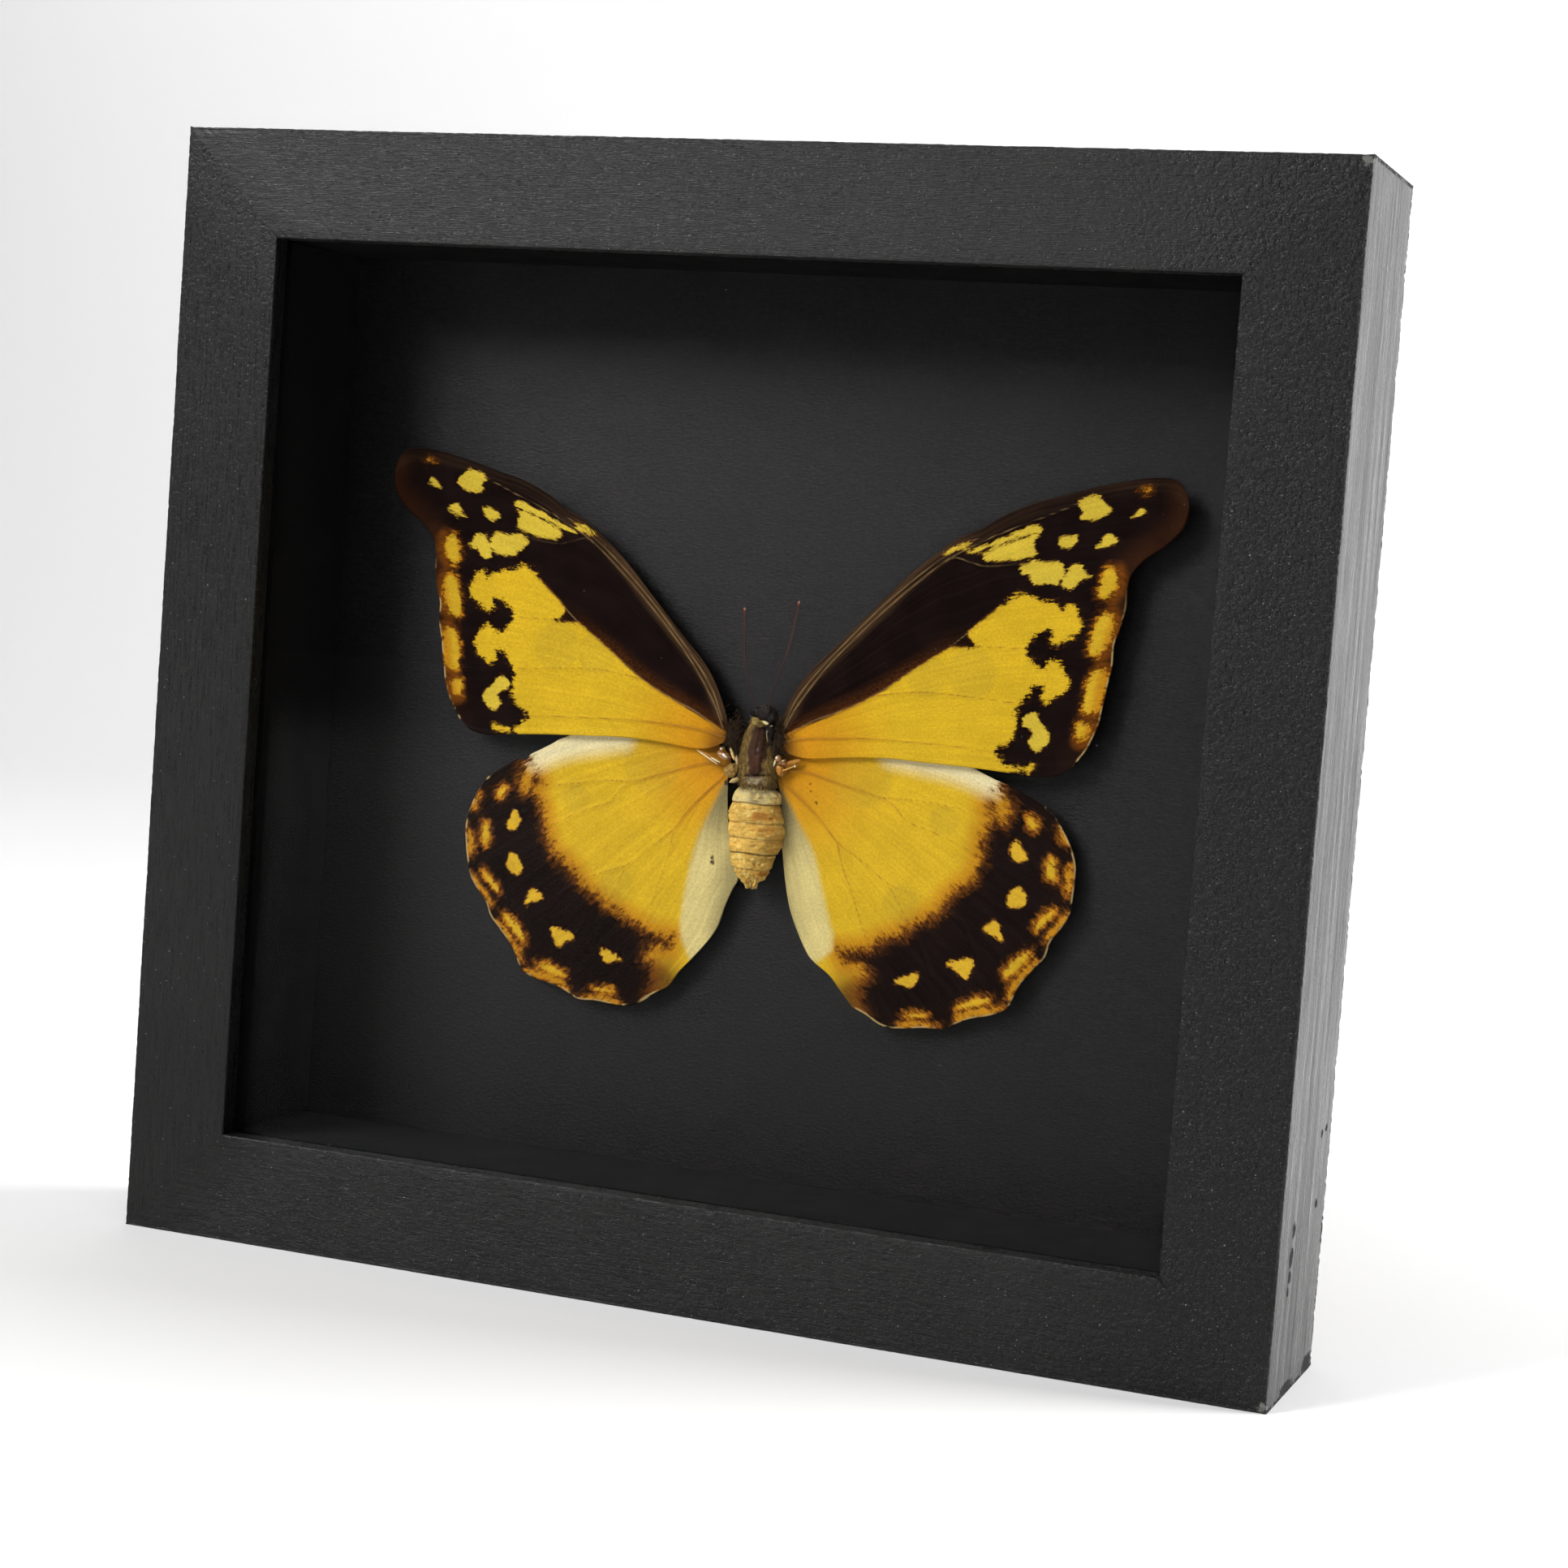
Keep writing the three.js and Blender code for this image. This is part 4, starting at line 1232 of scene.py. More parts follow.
@dataclass(frozen=True)
class Wing:
    """One wing: a thin, veined membrane with its markings.

    The membrane is a grid between four edges: each point is the mean of the two ways across,
    less the straight blend of the corners. Veins stand up from it as small round ridges.

    Attributes:
        plan: The right wing's outline and markings.
        wing_set: Where this wing lies.
        thickness: The membrane's thickness.
        vein_height: How far a vein stands up.
        vein_width: How wide a vein is.
        wave: How far the membrane bows in and out.
    """

    plan: WingPlan
    wing_set: WingSet
    thickness: float = 0.14
    vein_height: float = 0.16
    vein_width: float = 0.26
    wave: float = 0.4

    def _edges(self) -> tuple[np.ndarray, np.ndarray, np.ndarray, np.ndarray]:
        """The front, inner, outer and root edges, evenly spread, in the plan."""
        plan = self.plan
        inner = self.wing_set.to_plan(self.wing_set.inner) if self.wing_set.inner else plan.inner
        inner = np.asarray(inner, float)
        root = np.array([plan.root[0], plan.root[1], inner[0]])
        outer = np.array([*plan.outer[:-1], inner[-1]])
        front = resample(smooth_line(plan.front), plan.columns)
        inner = resample(smooth_line(inner), plan.columns)
        outer = resample(smooth_line(outer), plan.rows)[::-1]
        root = resample(smooth_line(root), plan.rows)[::-1]
        return front, inner, outer, root

    def _membrane(self) -> tuple[np.ndarray, np.ndarray, np.ndarray]:
        """The grid's points in the plan, and how far each is out from the root and across."""
        front, inner, outer, root = self._edges()
        u, v = np.meshgrid(np.linspace(0, 1, self.plan.columns), np.linspace(0, 1, self.plan.rows))
        u3, v3 = u[..., None], v[..., None]
        ruled = (1 - v3) * inner[None] + v3 * front[None] + (1 - u3) * root[:, None] + u3 * outer[:, None]
        corners = (1 - u3) * ((1 - v3) * inner[0] + v3 * front[0])
        corners += u3 * ((1 - v3) * inner[-1] + v3 * front[-1])
        return (ruled - corners).reshape(-1, 2), u.ravel(), v.ravel()

    def _marks(self, points: np.ndarray) -> dict[str, np.ndarray]:
        """The markings as distances in millimetres, positive inside a mark."""
        plan = self.plan
        far = np.full(len(points), OUTSIDE)
        own_fold = self.wing_set.fold
        fold = self.wing_set.to_plan(own_fold) if own_fold else np.array(plan.fold, float)

        def together(outlines: Sequence[Outline]) -> np.ndarray:
            """The greatest inside distance over several outlines."""
            best = far
            for outline in outlines:
                best = np.maximum(best, inside_distance(points, smooth_line(outline, 4, closed=True)))
            return best

        veins = [line_distance(points, smooth_line(line, 6)) for line in plan.veins]
        ghosts = [size - np.hypot(points[:, 0] - x, points[:, 1] - z) for x, z, size in plan.ghosts]
        return {
            "field": together([plan.field]),
            "spots": together(plan.spots),
            "bars": together(plan.bars),
            "fold": together([fold]) if len(fold) else far,
            "vein": np.min(veins, axis=0),
            "pale": line_distance(points, smooth_line(plan.pale)),
            "ghost": np.max(ghosts, axis=0),
            "margin": line_distance(points, smooth_line(plan.outer)),
            "front": line_distance(points, smooth_line(plan.front)),
            "root": np.hypot(*(points - WING_ROOT).T),
            "stain": self._stain(points),
        }

    def _stain(self, points: np.ndarray) -> np.ndarray:
        """How far inside a stain each point is."""
        placed = self.wing_set.to_frame(points)
        best = np.full(len(points), OUTSIDE)
        for x, z, size in self.wing_set.stains:
            best = np.maximum(best, size - np.hypot(placed[:, 0] - x, placed[:, 1] - z))
        return best

    def _nicked(self, points: np.ndarray) -> np.ndarray:
        """Pushes the edge in at the wing's nick by a narrow bell curve."""
        if not self.wing_set.nick:
            return points
        centre, push = (np.array(pair) for pair in self.wing_set.nick)
        near = np.exp(-(((points - centre) ** 2).sum(1)) / 0.5)
        return points + near[:, None] * push

    def build(self) -> Mesh:
        """The wing's membrane with its relief and markings; it is one sheet, still open."""
        flat, u, v = self._membrane()
        marks = self._marks(flat)
        rise = self.vein_height * np.exp(-((marks["vein"] / self.vein_width) ** 2))
        fade = ease_between(marks["margin"], 0.0, 3.0)
        pleats = ripple(v * 60 + 4 * u, 5 + self.wing_set.seed, 9.0, 5) * 0.06 * ease_between(u, 0.05, 0.3)
        bow = self.wave * ripple(flat[:, 0] + 0.4 * flat[:, 1], 21 + self.wing_set.seed, 46.0, 2)
        curl = 0.5 * (1 - ease_between(marks["margin"], 0.0, 5.0)) * ripple(v * 10, 3, 4.0, 3)
        rise = rise * fade + pleats + bow * ease_between(u, 0.0, 0.4) * 0.6 + curl * 0.35
        placed = self._nicked(self.wing_set.to_frame(flat))
        points = np.stack([placed[:, 0], self.plan.depth - rise, placed[:, 1]], 1)
        faces = grid_faces(self.plan.rows, self.plan.columns)
        if self.wing_set.side > 0:
            faces = np.array(faces)[:, ::-1].tolist()
        values = dict(marks)
        seed = np.full(len(u), 31.0 * self.wing_set.seed)
        values["plan"] = np.stack([flat[:, 0], flat[:, 1], seed], 1)
        values["flow"] = np.stack([u * 60, v * 45, seed], 1)
        return Mesh(points, faces, values)

    def dress(self, node: str, slot: str, finish: bpy.types.Material) -> None:
        """Builds the wing, thickens it into a closed shell and stands it for its node."""
        obj = self.build().to_object("detailed_" + node, finish)
        shell = obj.modifiers.new("Thickness", "SOLIDIFY")
        shell.thickness = self.thickness * METRES
        shell.offset = -1.0
        stand_for(obj, node)


@dataclass(frozen=True)
class WingScales:
    """The coloured scales of a butterfly's wing.

    Attributes:
        name: The material's name.
        yellow: The main field.
        base: The field next to the root.
        spot: The clear spots.
        bar: The soft bars by the outer edge.
        dark: The dark scales.
        glow: Between dark and yellow.
        ember: The yellow next to the dark border, and the bars' outer side.
        cream: The fold along the inner edge.
        pale: The strip under the other wing; the glow's line on the forewing.
        rust: The outer edge and the tip.
        vein: Veins over yellow.
        bare_vein: Veins over dark.
        ghost: Marks of the underside that show through.
        by_vein: Beside the veins, near the root.
        shadow: The yellow right at the root.
        fold_shade: The fold where it lies in shade.
        hem: The hindwing's rear corner.
        cloud: The paler patches of the dark scales.
        strands: The darker and the paler strands along the front edge.
        burnt: The dark on the outer side of the bars.
        rim: A painted highlight along the outer edge.
        stain: Small dark stains.
        dust: Dust.
        relief: The height of its relief, in metres.
        border_soft: Over how many millimetres the field fades into the dark.
        tip_rust: How strongly rust takes the tip.
        ember_share: How strongly the field turns to ember next to the border.
    """

    name: str
    yellow: Colour = (0.60, 0.375, 0.018)
    base: Colour = (0.54, 0.235, 0.01)
    spot: Colour = (0.58, 0.41, 0.04)
    bar: Colour = (0.57, 0.345, 0.02)
    dark: Colour = (0.006, 0.003, 0.0026)
    glow: Colour = (0.085, 0.024, 0.004)
    ember: Colour = (0.46, 0.19, 0.009)
    cream: Colour = (0.62, 0.5, 0.2)
    pale: Colour = (0.72, 0.62, 0.36)
    rust: Colour = (0.03, 0.0105, 0.0045)
    vein: Colour = (0.33, 0.15, 0.02)
    bare_vein: Colour = (0.17, 0.105, 0.045)
    ghost: Colour = (0.36, 0.27, 0.03)
    by_vein: Colour = (0.36, 0.13, 0.008)
    shadow: Colour = (0.12, 0.04, 0.01)
    fold_shade: Colour = (0.15, 0.125, 0.06)
    hem: Colour = (0.07, 0.025, 0.006)
    cloud: Colour = (0.0085, 0.0042, 0.0036)
    strands: tuple[Colour, Colour] = ((0.018, 0.0085, 0.005), (0.085, 0.045, 0.021))
    burnt: Colour = (0.2, 0.058, 0.006)
    rim: Colour = (0.5, 0.35, 0.14)
    stain: Colour = (0.03, 0.018, 0.01)
    dust: Colour = (0.35, 0.33, 0.3)
    relief: float = 0.00007
    border_soft: float = 0.35
    tip_rust: float = 0.0
    ember_share: float = 0.0

    def material(self, effects: Effects) -> bpy.types.Material:
        """Builds the finish; it reads the wing's marks as distances in millimetres."""
        material, g = new_material(self.name)
        plan, flow = g.vector("plan"), g.vector("flow")
        streaks = g.group(effects.fibres, Vector=flow, Length=16.0, Width=0.55)
        scales = g.noise(plan, 2.4, 4.0, 0.8)
        cloud = g.noise(plan, 0.16, 3.0)

        def mask(name: str, soft: float, rough: Value, shift: float = 0.0) -> Socket:
            """The broken-edged mask of one mark."""
            distance = g.plus(g.number(name), shift)
            return g.group(effects.ragged, Vector=flow, Distance=distance, Soft=soft, Rough=rough)["Mask"]

        root = g.number("root")
        height_at = g.add("SeparateXYZ", {0: plan}).outputs[1]
        yellow = g.blend(g.span(root, 24.0, 4.0), self.yellow, self.base)
        singed = g.times(g.span(g.number("field"), 3.6, 0.2), self.ember_share)
        yellow = g.blend(singed, yellow, self.ember)
        yellow = g.blend(g.span(g.number("ghost"), -0.3, 0.4, 0.0, 0.22), yellow, self.ghost)
        by_vein = g.times(g.span(g.number("vein"), 0.8, 0.0), g.span(root, 24.0, 5.0, 0.0, 0.42))
        yellow = g.blend(by_vein, yellow, self.by_vein)
        yellow = g.blend(g.span(root, 6.0, 1.5, 0.0, 0.8), yellow, self.shadow)
        pale = g.span(g.number("pale"), 4.2, 0.6)
        if self.fold_colours:
            shade = g.greater(g.span(root, 22.0, 7.0), g.span(g.number("fold"), 3.0, 8.0, 0.0, 0.7))
            fold_tone = g.blend(g.times(shade, 0.92), self.cream, self.fold_shade)
            yellow = g.blend(g.times(pale, 0.95), yellow, self.pale)
            yellow = g.blend(mask("fold", 1.5, 0.12), yellow, fold_tone)
            hem = g.times(g.span(g.number("margin"), 7.5, 2.0), g.span(height_at, -35.5, -39.0))
            hem = g.times(hem, g.span(scales, 0.3, 0.6, 0.6, 0.95))
            yellow = g.blend(hem, yellow, self.hem)

        dark = g.blend(g.span(cloud, 0.35, 0.7), self.dark, self.cloud)
        rust = g.span(g.number("margin"), 5.2, 0.2)
        rust = g.times(rust, g.span(height_at, 12.0, 30.0, 0.25, 1.0))
        rust = g.times(rust, g.span(cloud, 0.2, 0.6, 0.5, 1.0))
        dark = g.blend(g.times(rust, self.tip_rust), dark, self.rust)
        if not self.fold_colours:
            near_cell = g.times(g.span(g.number("pale"), 2.6, 0.1), g.span(scales, 0.3, 0.7))
            near_cell = g.times(near_cell, g.span(root, 42.0, 26.0))
            dark = g.blend(g.times(near_cell, 0.8), dark, self.glow)
            edge = g.times(g.span(g.number("front"), 2.8, 1.2), g.span(root, 58.0, 30.0, 0.2, 1.0))
            strand = g.blend(g.span(streaks["Tone"], 0.35, 0.65), *self.strands)
            dark = g.blend(g.times(edge, 0.9), dark, strand)
            near_bar = g.span(g.number("bars"), -2.2, -0.1)
            burnt = g.times(near_bar, g.span(g.number("margin"), 3.8, 1.8))
            burnt = g.times(burnt, g.span(streaks["Tone"], 0.3, 0.6, 0.45, 1.0))
            dark = g.blend(burnt, dark, self.burnt)

        soft, rough = self.border_soft, 0.4 + self.border_soft * 0.16
        if not self.fold_colours:
            rough = g.span(g.number("pale"), 0.8, 3.5, 0.09, rough)
            halo_rough = g.times(rough, 1.2)
        else:
            halo_rough = rough * 1.2
        colour = g.blend(mask("field", soft * 2.0, halo_rough, soft * 0.55), dark, self.glow)
        colour = g.blend(mask("field", soft, rough), colour, yellow)
        colour = g.blend(mask("bars", 1.3, 0.5, 0.5), colour, self.glow)
        outward = g.times(g.span(g.number("margin"), 2.6, 1.0), 0.85)
        burnt = g.greater(g.span(g.number("bars"), 0.45, 0.0), outward)
        colour = g.blend(mask("bars", 0.6, 0.5, -0.05), colour, g.blend(burnt, self.bar, self.ember))
        colour = g.blend(mask("spots", 0.45, 0.27, 0.16), colour, self.glow)
        colour = g.blend(mask("spots", 0.25, 0.27), colour, self.spot)

        tone = g.span(streaks["Tone"], 0.25, 0.75, 0.93, 1.06)
        tone = g.times(tone, g.span(scales, 0.25, 0.75, 0.82, 1.18))
        tone = g.times(tone, g.span(cloud, 0.3, 0.7, 0.94, 1.05))
        colour = g.shade(colour, tone)

        lit = g.add("RGBToBW", {0: colour}).outputs[0]
        line = g.blend(g.span(lit, 0.02, 0.15), self.bare_vein, self.vein)
        near_front = g.span(g.number("front"), 9.0, 4.0)
        strength = g.greater(g.span(lit, 0.02, 0.15, 0.1, 1.0), near_front)
        if not self.fold_colours:
            strength = g.greater(strength, g.span(g.number("pale"), 1.0, 0.3))
        strength = g.times(strength, g.span(g.noise(flow, 0.5, 2.0), 0.35, 0.65, 0.45, 0.95))
        drawn = g.times(g.span(g.number("vein"), 0.17, 0.04), strength)
        colour = g.blend(drawn, colour, line)
        # Painted highlight: a thin pale line along the outer edge, fading out high on the forewing.
        rim = g.times(g.span(g.number("margin"), 0.42, 0.12), g.span(g.noise(plan, 0.45, 2.0), 0.42, 0.56))
        rim = g.times(rim, g.span(height_at, 30.0, 18.0, 0.0, 0.85))
        colour = g.blend(rim, colour, self.rim)
        stain = g.span(g.plus(g.number("stain"), g.swing(scales, 1.5)), -0.1, 0.1)
        colour = g.blend(g.times(stain, 0.9), colour, self.stain)
        dust = g.group(effects.specks, Vector=plan, Cell=1.7, Size=0.11, Share=0.2)
        colour = g.blend(g.times(dust["Mask"], 0.45), colour, self.dust)

        height = g.times_plus(streaks["Height"], 0.5, g.times(scales, 0.45))
        normal = g.bump(height, self.relief)
        g.close(g.surface(Base_Color=colour, Normal=normal, Roughness=0.62, Specular_IOR_Level=0.01))
        return material

    @property
    def fold_colours(self) -> bool:
        """Whether the wing has a cream fold and a pale strip, as the hindwing has."""
        return self.tip_rust < 0.5


# ---------------------------------------------------------------- body


def patchy(x: np.ndarray, y: np.ndarray, size: float, seed: int, octaves: int = 3) -> np.ndarray:
    """Crumbly noise about 0: random heights on a square lattice, smoothly joined, in octaves.

    Args:
        x: One coordinate.
        y: The other coordinate.
        size: The coarsest lattice's spacing, in the same unit.
        seed: Chooses the heights.
        octaves: How many lattices, each half as coarse and half as high, are summed.
    """
    rng = np.random.default_rng(seed)
    total = np.zeros(np.broadcast(x, y).shape)
    for octave in range(octaves):
        heights = rng.uniform(-1.0, 1.0, (64, 64))
        at_x, at_y = (np.asarray(part, float) / size * 2**octave + 17.0 for part in (x, y))
        column, row = np.floor(at_x).astype(int), np.floor(at_y).astype(int)
        tx, ty = (ease_between(part, 0.0, 1.0) for part in (at_x - column, at_y - row))
        low = heights[row % 64, column % 64] * (1 - tx) + heights[row % 64, (column + 1) % 64] * tx
        row = row + 1
        high = heights[row % 64, column % 64] * (1 - tx) + heights[row % 64, (column + 1) % 64] * tx
        total += (low * (1 - ty) + high * ty) * 0.5**octave
    return total


def closed_rings(rings: np.ndarray, tint: np.ndarray, gloss: np.ndarray) -> Mesh:
    """A closed skin over rings of points, with a fan over each end, turned to face outwards.

    It faces outwards when the volumes under its sides, measured from its middle, add up to more
    than nothing.

    Args:
        rings: (rings, sides, 3) points, each ring running the same way round.
        tint: (rings, sides, 3) colours.
        gloss: (rings, sides) gloss from 0 to 1.
    """
    count, sides = rings.shape[:2]
    ends = [rings[0].mean(0), rings[-1].mean(0)]
    points = np.vstack([rings.reshape(-1, 3), ends])
    faces = grid_faces(count, sides, wrap=True)
    first, last = count * sides, count * sides + 1
    following = [(side + 1) % sides for side in range(sides)]
    base = (count - 1) * sides
    around = (points - points.mean(0))[np.array(faces)]
    volume = (around[:, 0] * np.cross(around[:, 1], around[:, 2])).sum()
    faces += [[side, first, following[side]] for side in range(sides)]
    faces += [[base + following[side], last, base + side] for side in range(sides)]
    if volume < 0:
        faces = [face[::-1] for face in faces]
    tints = np.vstack([tint.reshape(-1, 3), tint[0].mean(0), tint[-1].mean(0)])
    glosses = np.concatenate([gloss.ravel(), [gloss[0].mean(), gloss[-1].mean()]])
    return Mesh(points, faces, {"tint": tints, "gloss": glosses})


@dataclass(frozen=True)
class Lump:
    """A rounded, uneven lump.

    Attributes:
        at: Its middle, (x, depth, z).
        half: Its half sizes along x, depth and z.
        tint: Its colour.
        gloss: From 0, matte, to 1, wet.
        uneven: How far its skin wanders, as a share of its size.
        tilt: Degrees that it is turned in the plane of the wings, towards +z from +x.
        rings: How many rings it has.
        sides: How many points a ring has.
        pole: How far its first ring is from its pole, as an angle.
    """

    at: Triple
    half: Triple
    tint: Colour
    gloss: float = 0.3
    uneven: float = 0.12
    tilt: float = 0.0
    rings: int = 22
    sides: int = 30
    pole: float = 0.04

    def build(self) -> Mesh:
        """The lump: a ball, squeezed, roughened, turned and moved."""
        down = np.linspace(self.pole, np.pi - self.pole, self.rings)
        around = np.arange(self.sides) / self.sides * 2 * np.pi
        down, around = np.meshgrid(down, around, indexing="ij")
        ball = np.stack([np.sin(down) * np.cos(around), np.sin(down) * np.sin(around), np.cos(down)], -1)
        seed = int(abs(self.at[0] * 37 + self.at[2] * 91)) % 997
        rough = patchy(ball[..., 0] + 2 * ball[..., 1], ball[..., 2] + ball[..., 1], 0.7, seed)
        shape = ball * (1 + self.uneven * rough)[..., None] * np.array(self.half)
        turn = math.radians(self.tilt)
        x = shape[..., 0] * math.cos(turn) - shape[..., 2] * math.sin(turn)
        z = shape[..., 0] * math.sin(turn) + shape[..., 2] * math.cos(turn)
        rings_at = np.stack([x, shape[..., 1], z], -1) + np.array(self.at)
        shade = 1 + 0.35 * patchy(ball[..., 0] * 3, ball[..., 2] * 3 + ball[..., 1], 0.8, seed + 5)
        tint = np.array(self.tint) * shade[..., None]
        return closed_rings(rings_at, tint, np.full(down.shape, self.gloss))


@dataclass(frozen=True)
class Section:
    """A long body section between a left and a right edge, seen from the front.

    Attributes:
        left: (z, x) along its left edge, from the top down.
        right: (z, x) along its right edge.
        middle: The depth of its axis.
        depth_share: Its half depth as a share of its half width.
        rings: How many rings it has.
        sides: How many points a ring has.
    """

    left: Outline
    right: Outline
    middle: float = 26.0
    depth_share: float = 0.78
    rings: int = 170
    sides: int = 110

    def grid(self) -> tuple[np.ndarray, np.ndarray, np.ndarray, np.ndarray]:
        """Each point's height, its turn round the axis, and the rings' middles and half widths.

        Turn 0 is the right side, and a quarter turn on faces the glass.
        """
        left, right = (np.array(edge, float)[::-1] for edge in (self.left, self.right))
        z = np.linspace(right[-1, 0], right[0, 0], self.rings)
        low, high = np.interp(z, left[:, 0], left[:, 1]), np.interp(z, right[:, 0], right[:, 1])
        high, low = (np.convolve(np.pad(edge, 4, "edge"), np.ones(9) / 9, "valid") for edge in (high, low))
        turn = np.arange(self.sides) / self.sides * 2 * np.pi
        z, turn = np.meshgrid(z, turn, indexing="ij")
        return z, turn, ((low + high) / 2)[:, None], ((high - low) / 2)[:, None]

    def skin(
        self, z: np.ndarray, turn: np.ndarray, centre: np.ndarray, half: np.ndarray, rise: np.ndarray
    ) -> np.ndarray:
        """The rings' points, pushed out by rise millimetres."""
        x = centre + (half + rise) * np.cos(turn)
        depth = self.middle - (half * self.depth_share + rise) * np.sin(turn)
        return np.stack([x, depth, z], -1)


def hairs(roots: np.ndarray, lean: np.ndarray, length: np.ndarray, width: float, tint: np.ndarray) -> Mesh:
    """Short tapered hairs, each a bent three-sided spike.

    Args:
        roots: (n, 3) where each starts.
        lean: (n, 3) which way each points; the tips also droop towards -z.
        length: (n,) how long each is.
        width: How wide a hair is at its root.
        tint: (n, 3) their colours.
    """
    count = len(roots)
    lean = lean / np.linalg.norm(lean, axis=1, keepdims=True)
    side = np.cross(lean, np.array([0.3, 0.9, 0.2]))
    side /= np.linalg.norm(side, axis=1, keepdims=True)
    other = np.cross(lean, side)
    angles = np.arange(3) / 3 * 2 * np.pi
    droop = np.array([0.0, 0.0, -0.25])
    levels = []
    for share, girth in ((0.0, 1.0), (0.5, 0.8)):
        middle = roots + (lean * share + droop * share**2) * length[:, None]
        for angle in angles:
            levels.append(middle + width / 2 * girth * (np.cos(angle) * side + np.sin(angle) * other))
    tip = roots + (lean + droop) * length[:, None]
    points = np.stack([*levels, tip], 1).reshape(-1, 3)
    pattern = np.array([[0, 1, 4], [0, 4, 3], [1, 2, 5], [1, 5, 4], [2, 0, 3], [2, 3, 5],
                        [3, 4, 6], [4, 5, 6], [5, 3, 6], [2, 1, 0]])
    faces = (pattern[None] + 7 * np.arange(count)[:, None, None]).reshape(-1, 3).tolist()
    return Mesh(points, faces, {"tint": np.repeat(tint, 7, 0), "gloss": np.full(count * 7, 0.25)})


@dataclass(frozen=True)
class BodySkin:
    """Dry insect skin that takes its colour and gloss from the mesh.

    Attributes:
        name: The material's name.
        grit: The relief's height in metres.
        mottle: How much the colour varies.
    """

    name: str
    grit: float = 0.00008
    mottle: float = 0.2

    def material(self) -> bpy.types.Material:
        """Builds the finish."""
        material, g = new_material(self.name)
        where = g.object_mm()
        crumbs = g.noise(where, 2.6, 4.0, 0.65)
        fine = g.noise(where, 9.0, 2.0, 0.6)
        tone = g.span(crumbs, 0.25, 0.75, 1 - self.mottle, 1 + self.mottle)
        gloss = g.number("gloss")
        matte = g.minus(1.0, g.times(gloss, 0.7))
        surface = g.surface(
            Base_Color=g.shade(g.vector("tint"), tone),
            Roughness=g.minus(1.0, g.times(gloss, 0.78)),
            Normal=g.bump(g.times_plus(fine, 0.4, crumbs), self.grit, matte),
            Coat_Weight=g.span(gloss, 0.3, 1.0, 0.0, 0.9),
            Coat_Roughness=0.12,
            Specular_IOR_Level=0.12,
        )
        g.close(surface)
        return material


@dataclass(frozen=True)
class Feeler:
    """A thin beaded feeler that ends in a small club.

    Attributes:
        route: (x, depth, z) of points that its middle runs through, from the head.
        radius: Its radius at the head.
        taper: How much of the radius it has lost by its tip.
        beads: How many beads it has.
        bulge: How far a bead stands out, as a share of the radius.
        rings: How many rings it has.
        sides: How many points a ring has.
        root_tint: Its colour at the head.
        shaft_tint: Its colour further out.
        tip_tint: Its colour at the tip.
    """

    route: tuple[Triple, ...]
    radius: float = 0.115
    taper: float = 0.03
    beads: int = 55
    bulge: float = 0.12
    rings: int = 160
    sides: int = 10
    root_tint: Colour = (0.035, 0.012, 0.01)
    shaft_tint: Colour = (0.085, 0.016, 0.012)
    tip_tint: Colour = (0.45, 0.2, 0.1)

    def build(self) -> Mesh:
        """Level rings round the route, their radius a taper times beads times a club."""
        line = resample(smooth_line(self.route, 12), self.rings)
        out = np.linspace(0.0, 1.0, self.rings)[:, None]
        beads = 1 + self.bulge * np.sin(out * 2 * np.pi * self.beads)
        club = 1 + ease_between(out, 0.9, 0.97) * (1 - ease_between(out, 0.985, 1.0) * 0.8)
        radius = (self.radius - self.taper * out) * beads * club
        turn = (np.arange(self.sides) / self.sides * 2 * np.pi)[None, :]
        x = line[:, :1] + radius * np.cos(turn)
        depth = line[:, 1:2] - radius * np.sin(turn)
        z = np.repeat(line[:, 2:3], self.sides, 1)
        root, shaft, tip = (np.array(tint) for tint in (self.root_tint, self.shaft_tint, self.tip_tint))
        tint = root + (shaft - root) * ease_between(out, 0.2, 0.9)
        tint = tint + (tip - tint) * ease_between(out, 0.965, 0.99)
        tints = np.repeat(tint[:, None, :], self.sides, 1)
        rings = np.stack([x, depth, z], -1)[::-1]
        return closed_rings(rings, tints[::-1], np.full((self.rings, self.sides), 0.4))


DARK_CHITIN = (0.012, 0.008, 0.0075)
FUR_GOLD = (0.36, 0.22, 0.06)
FUR_OLIVE = (0.1, 0.062, 0.023)
CREAM = (0.78, 0.68, 0.42)
# Painted highlight: the white of the specks that stand for glints on the wing bases.
PAINTED_GLINT_WHITE = (0.86, 0.8, 0.7)


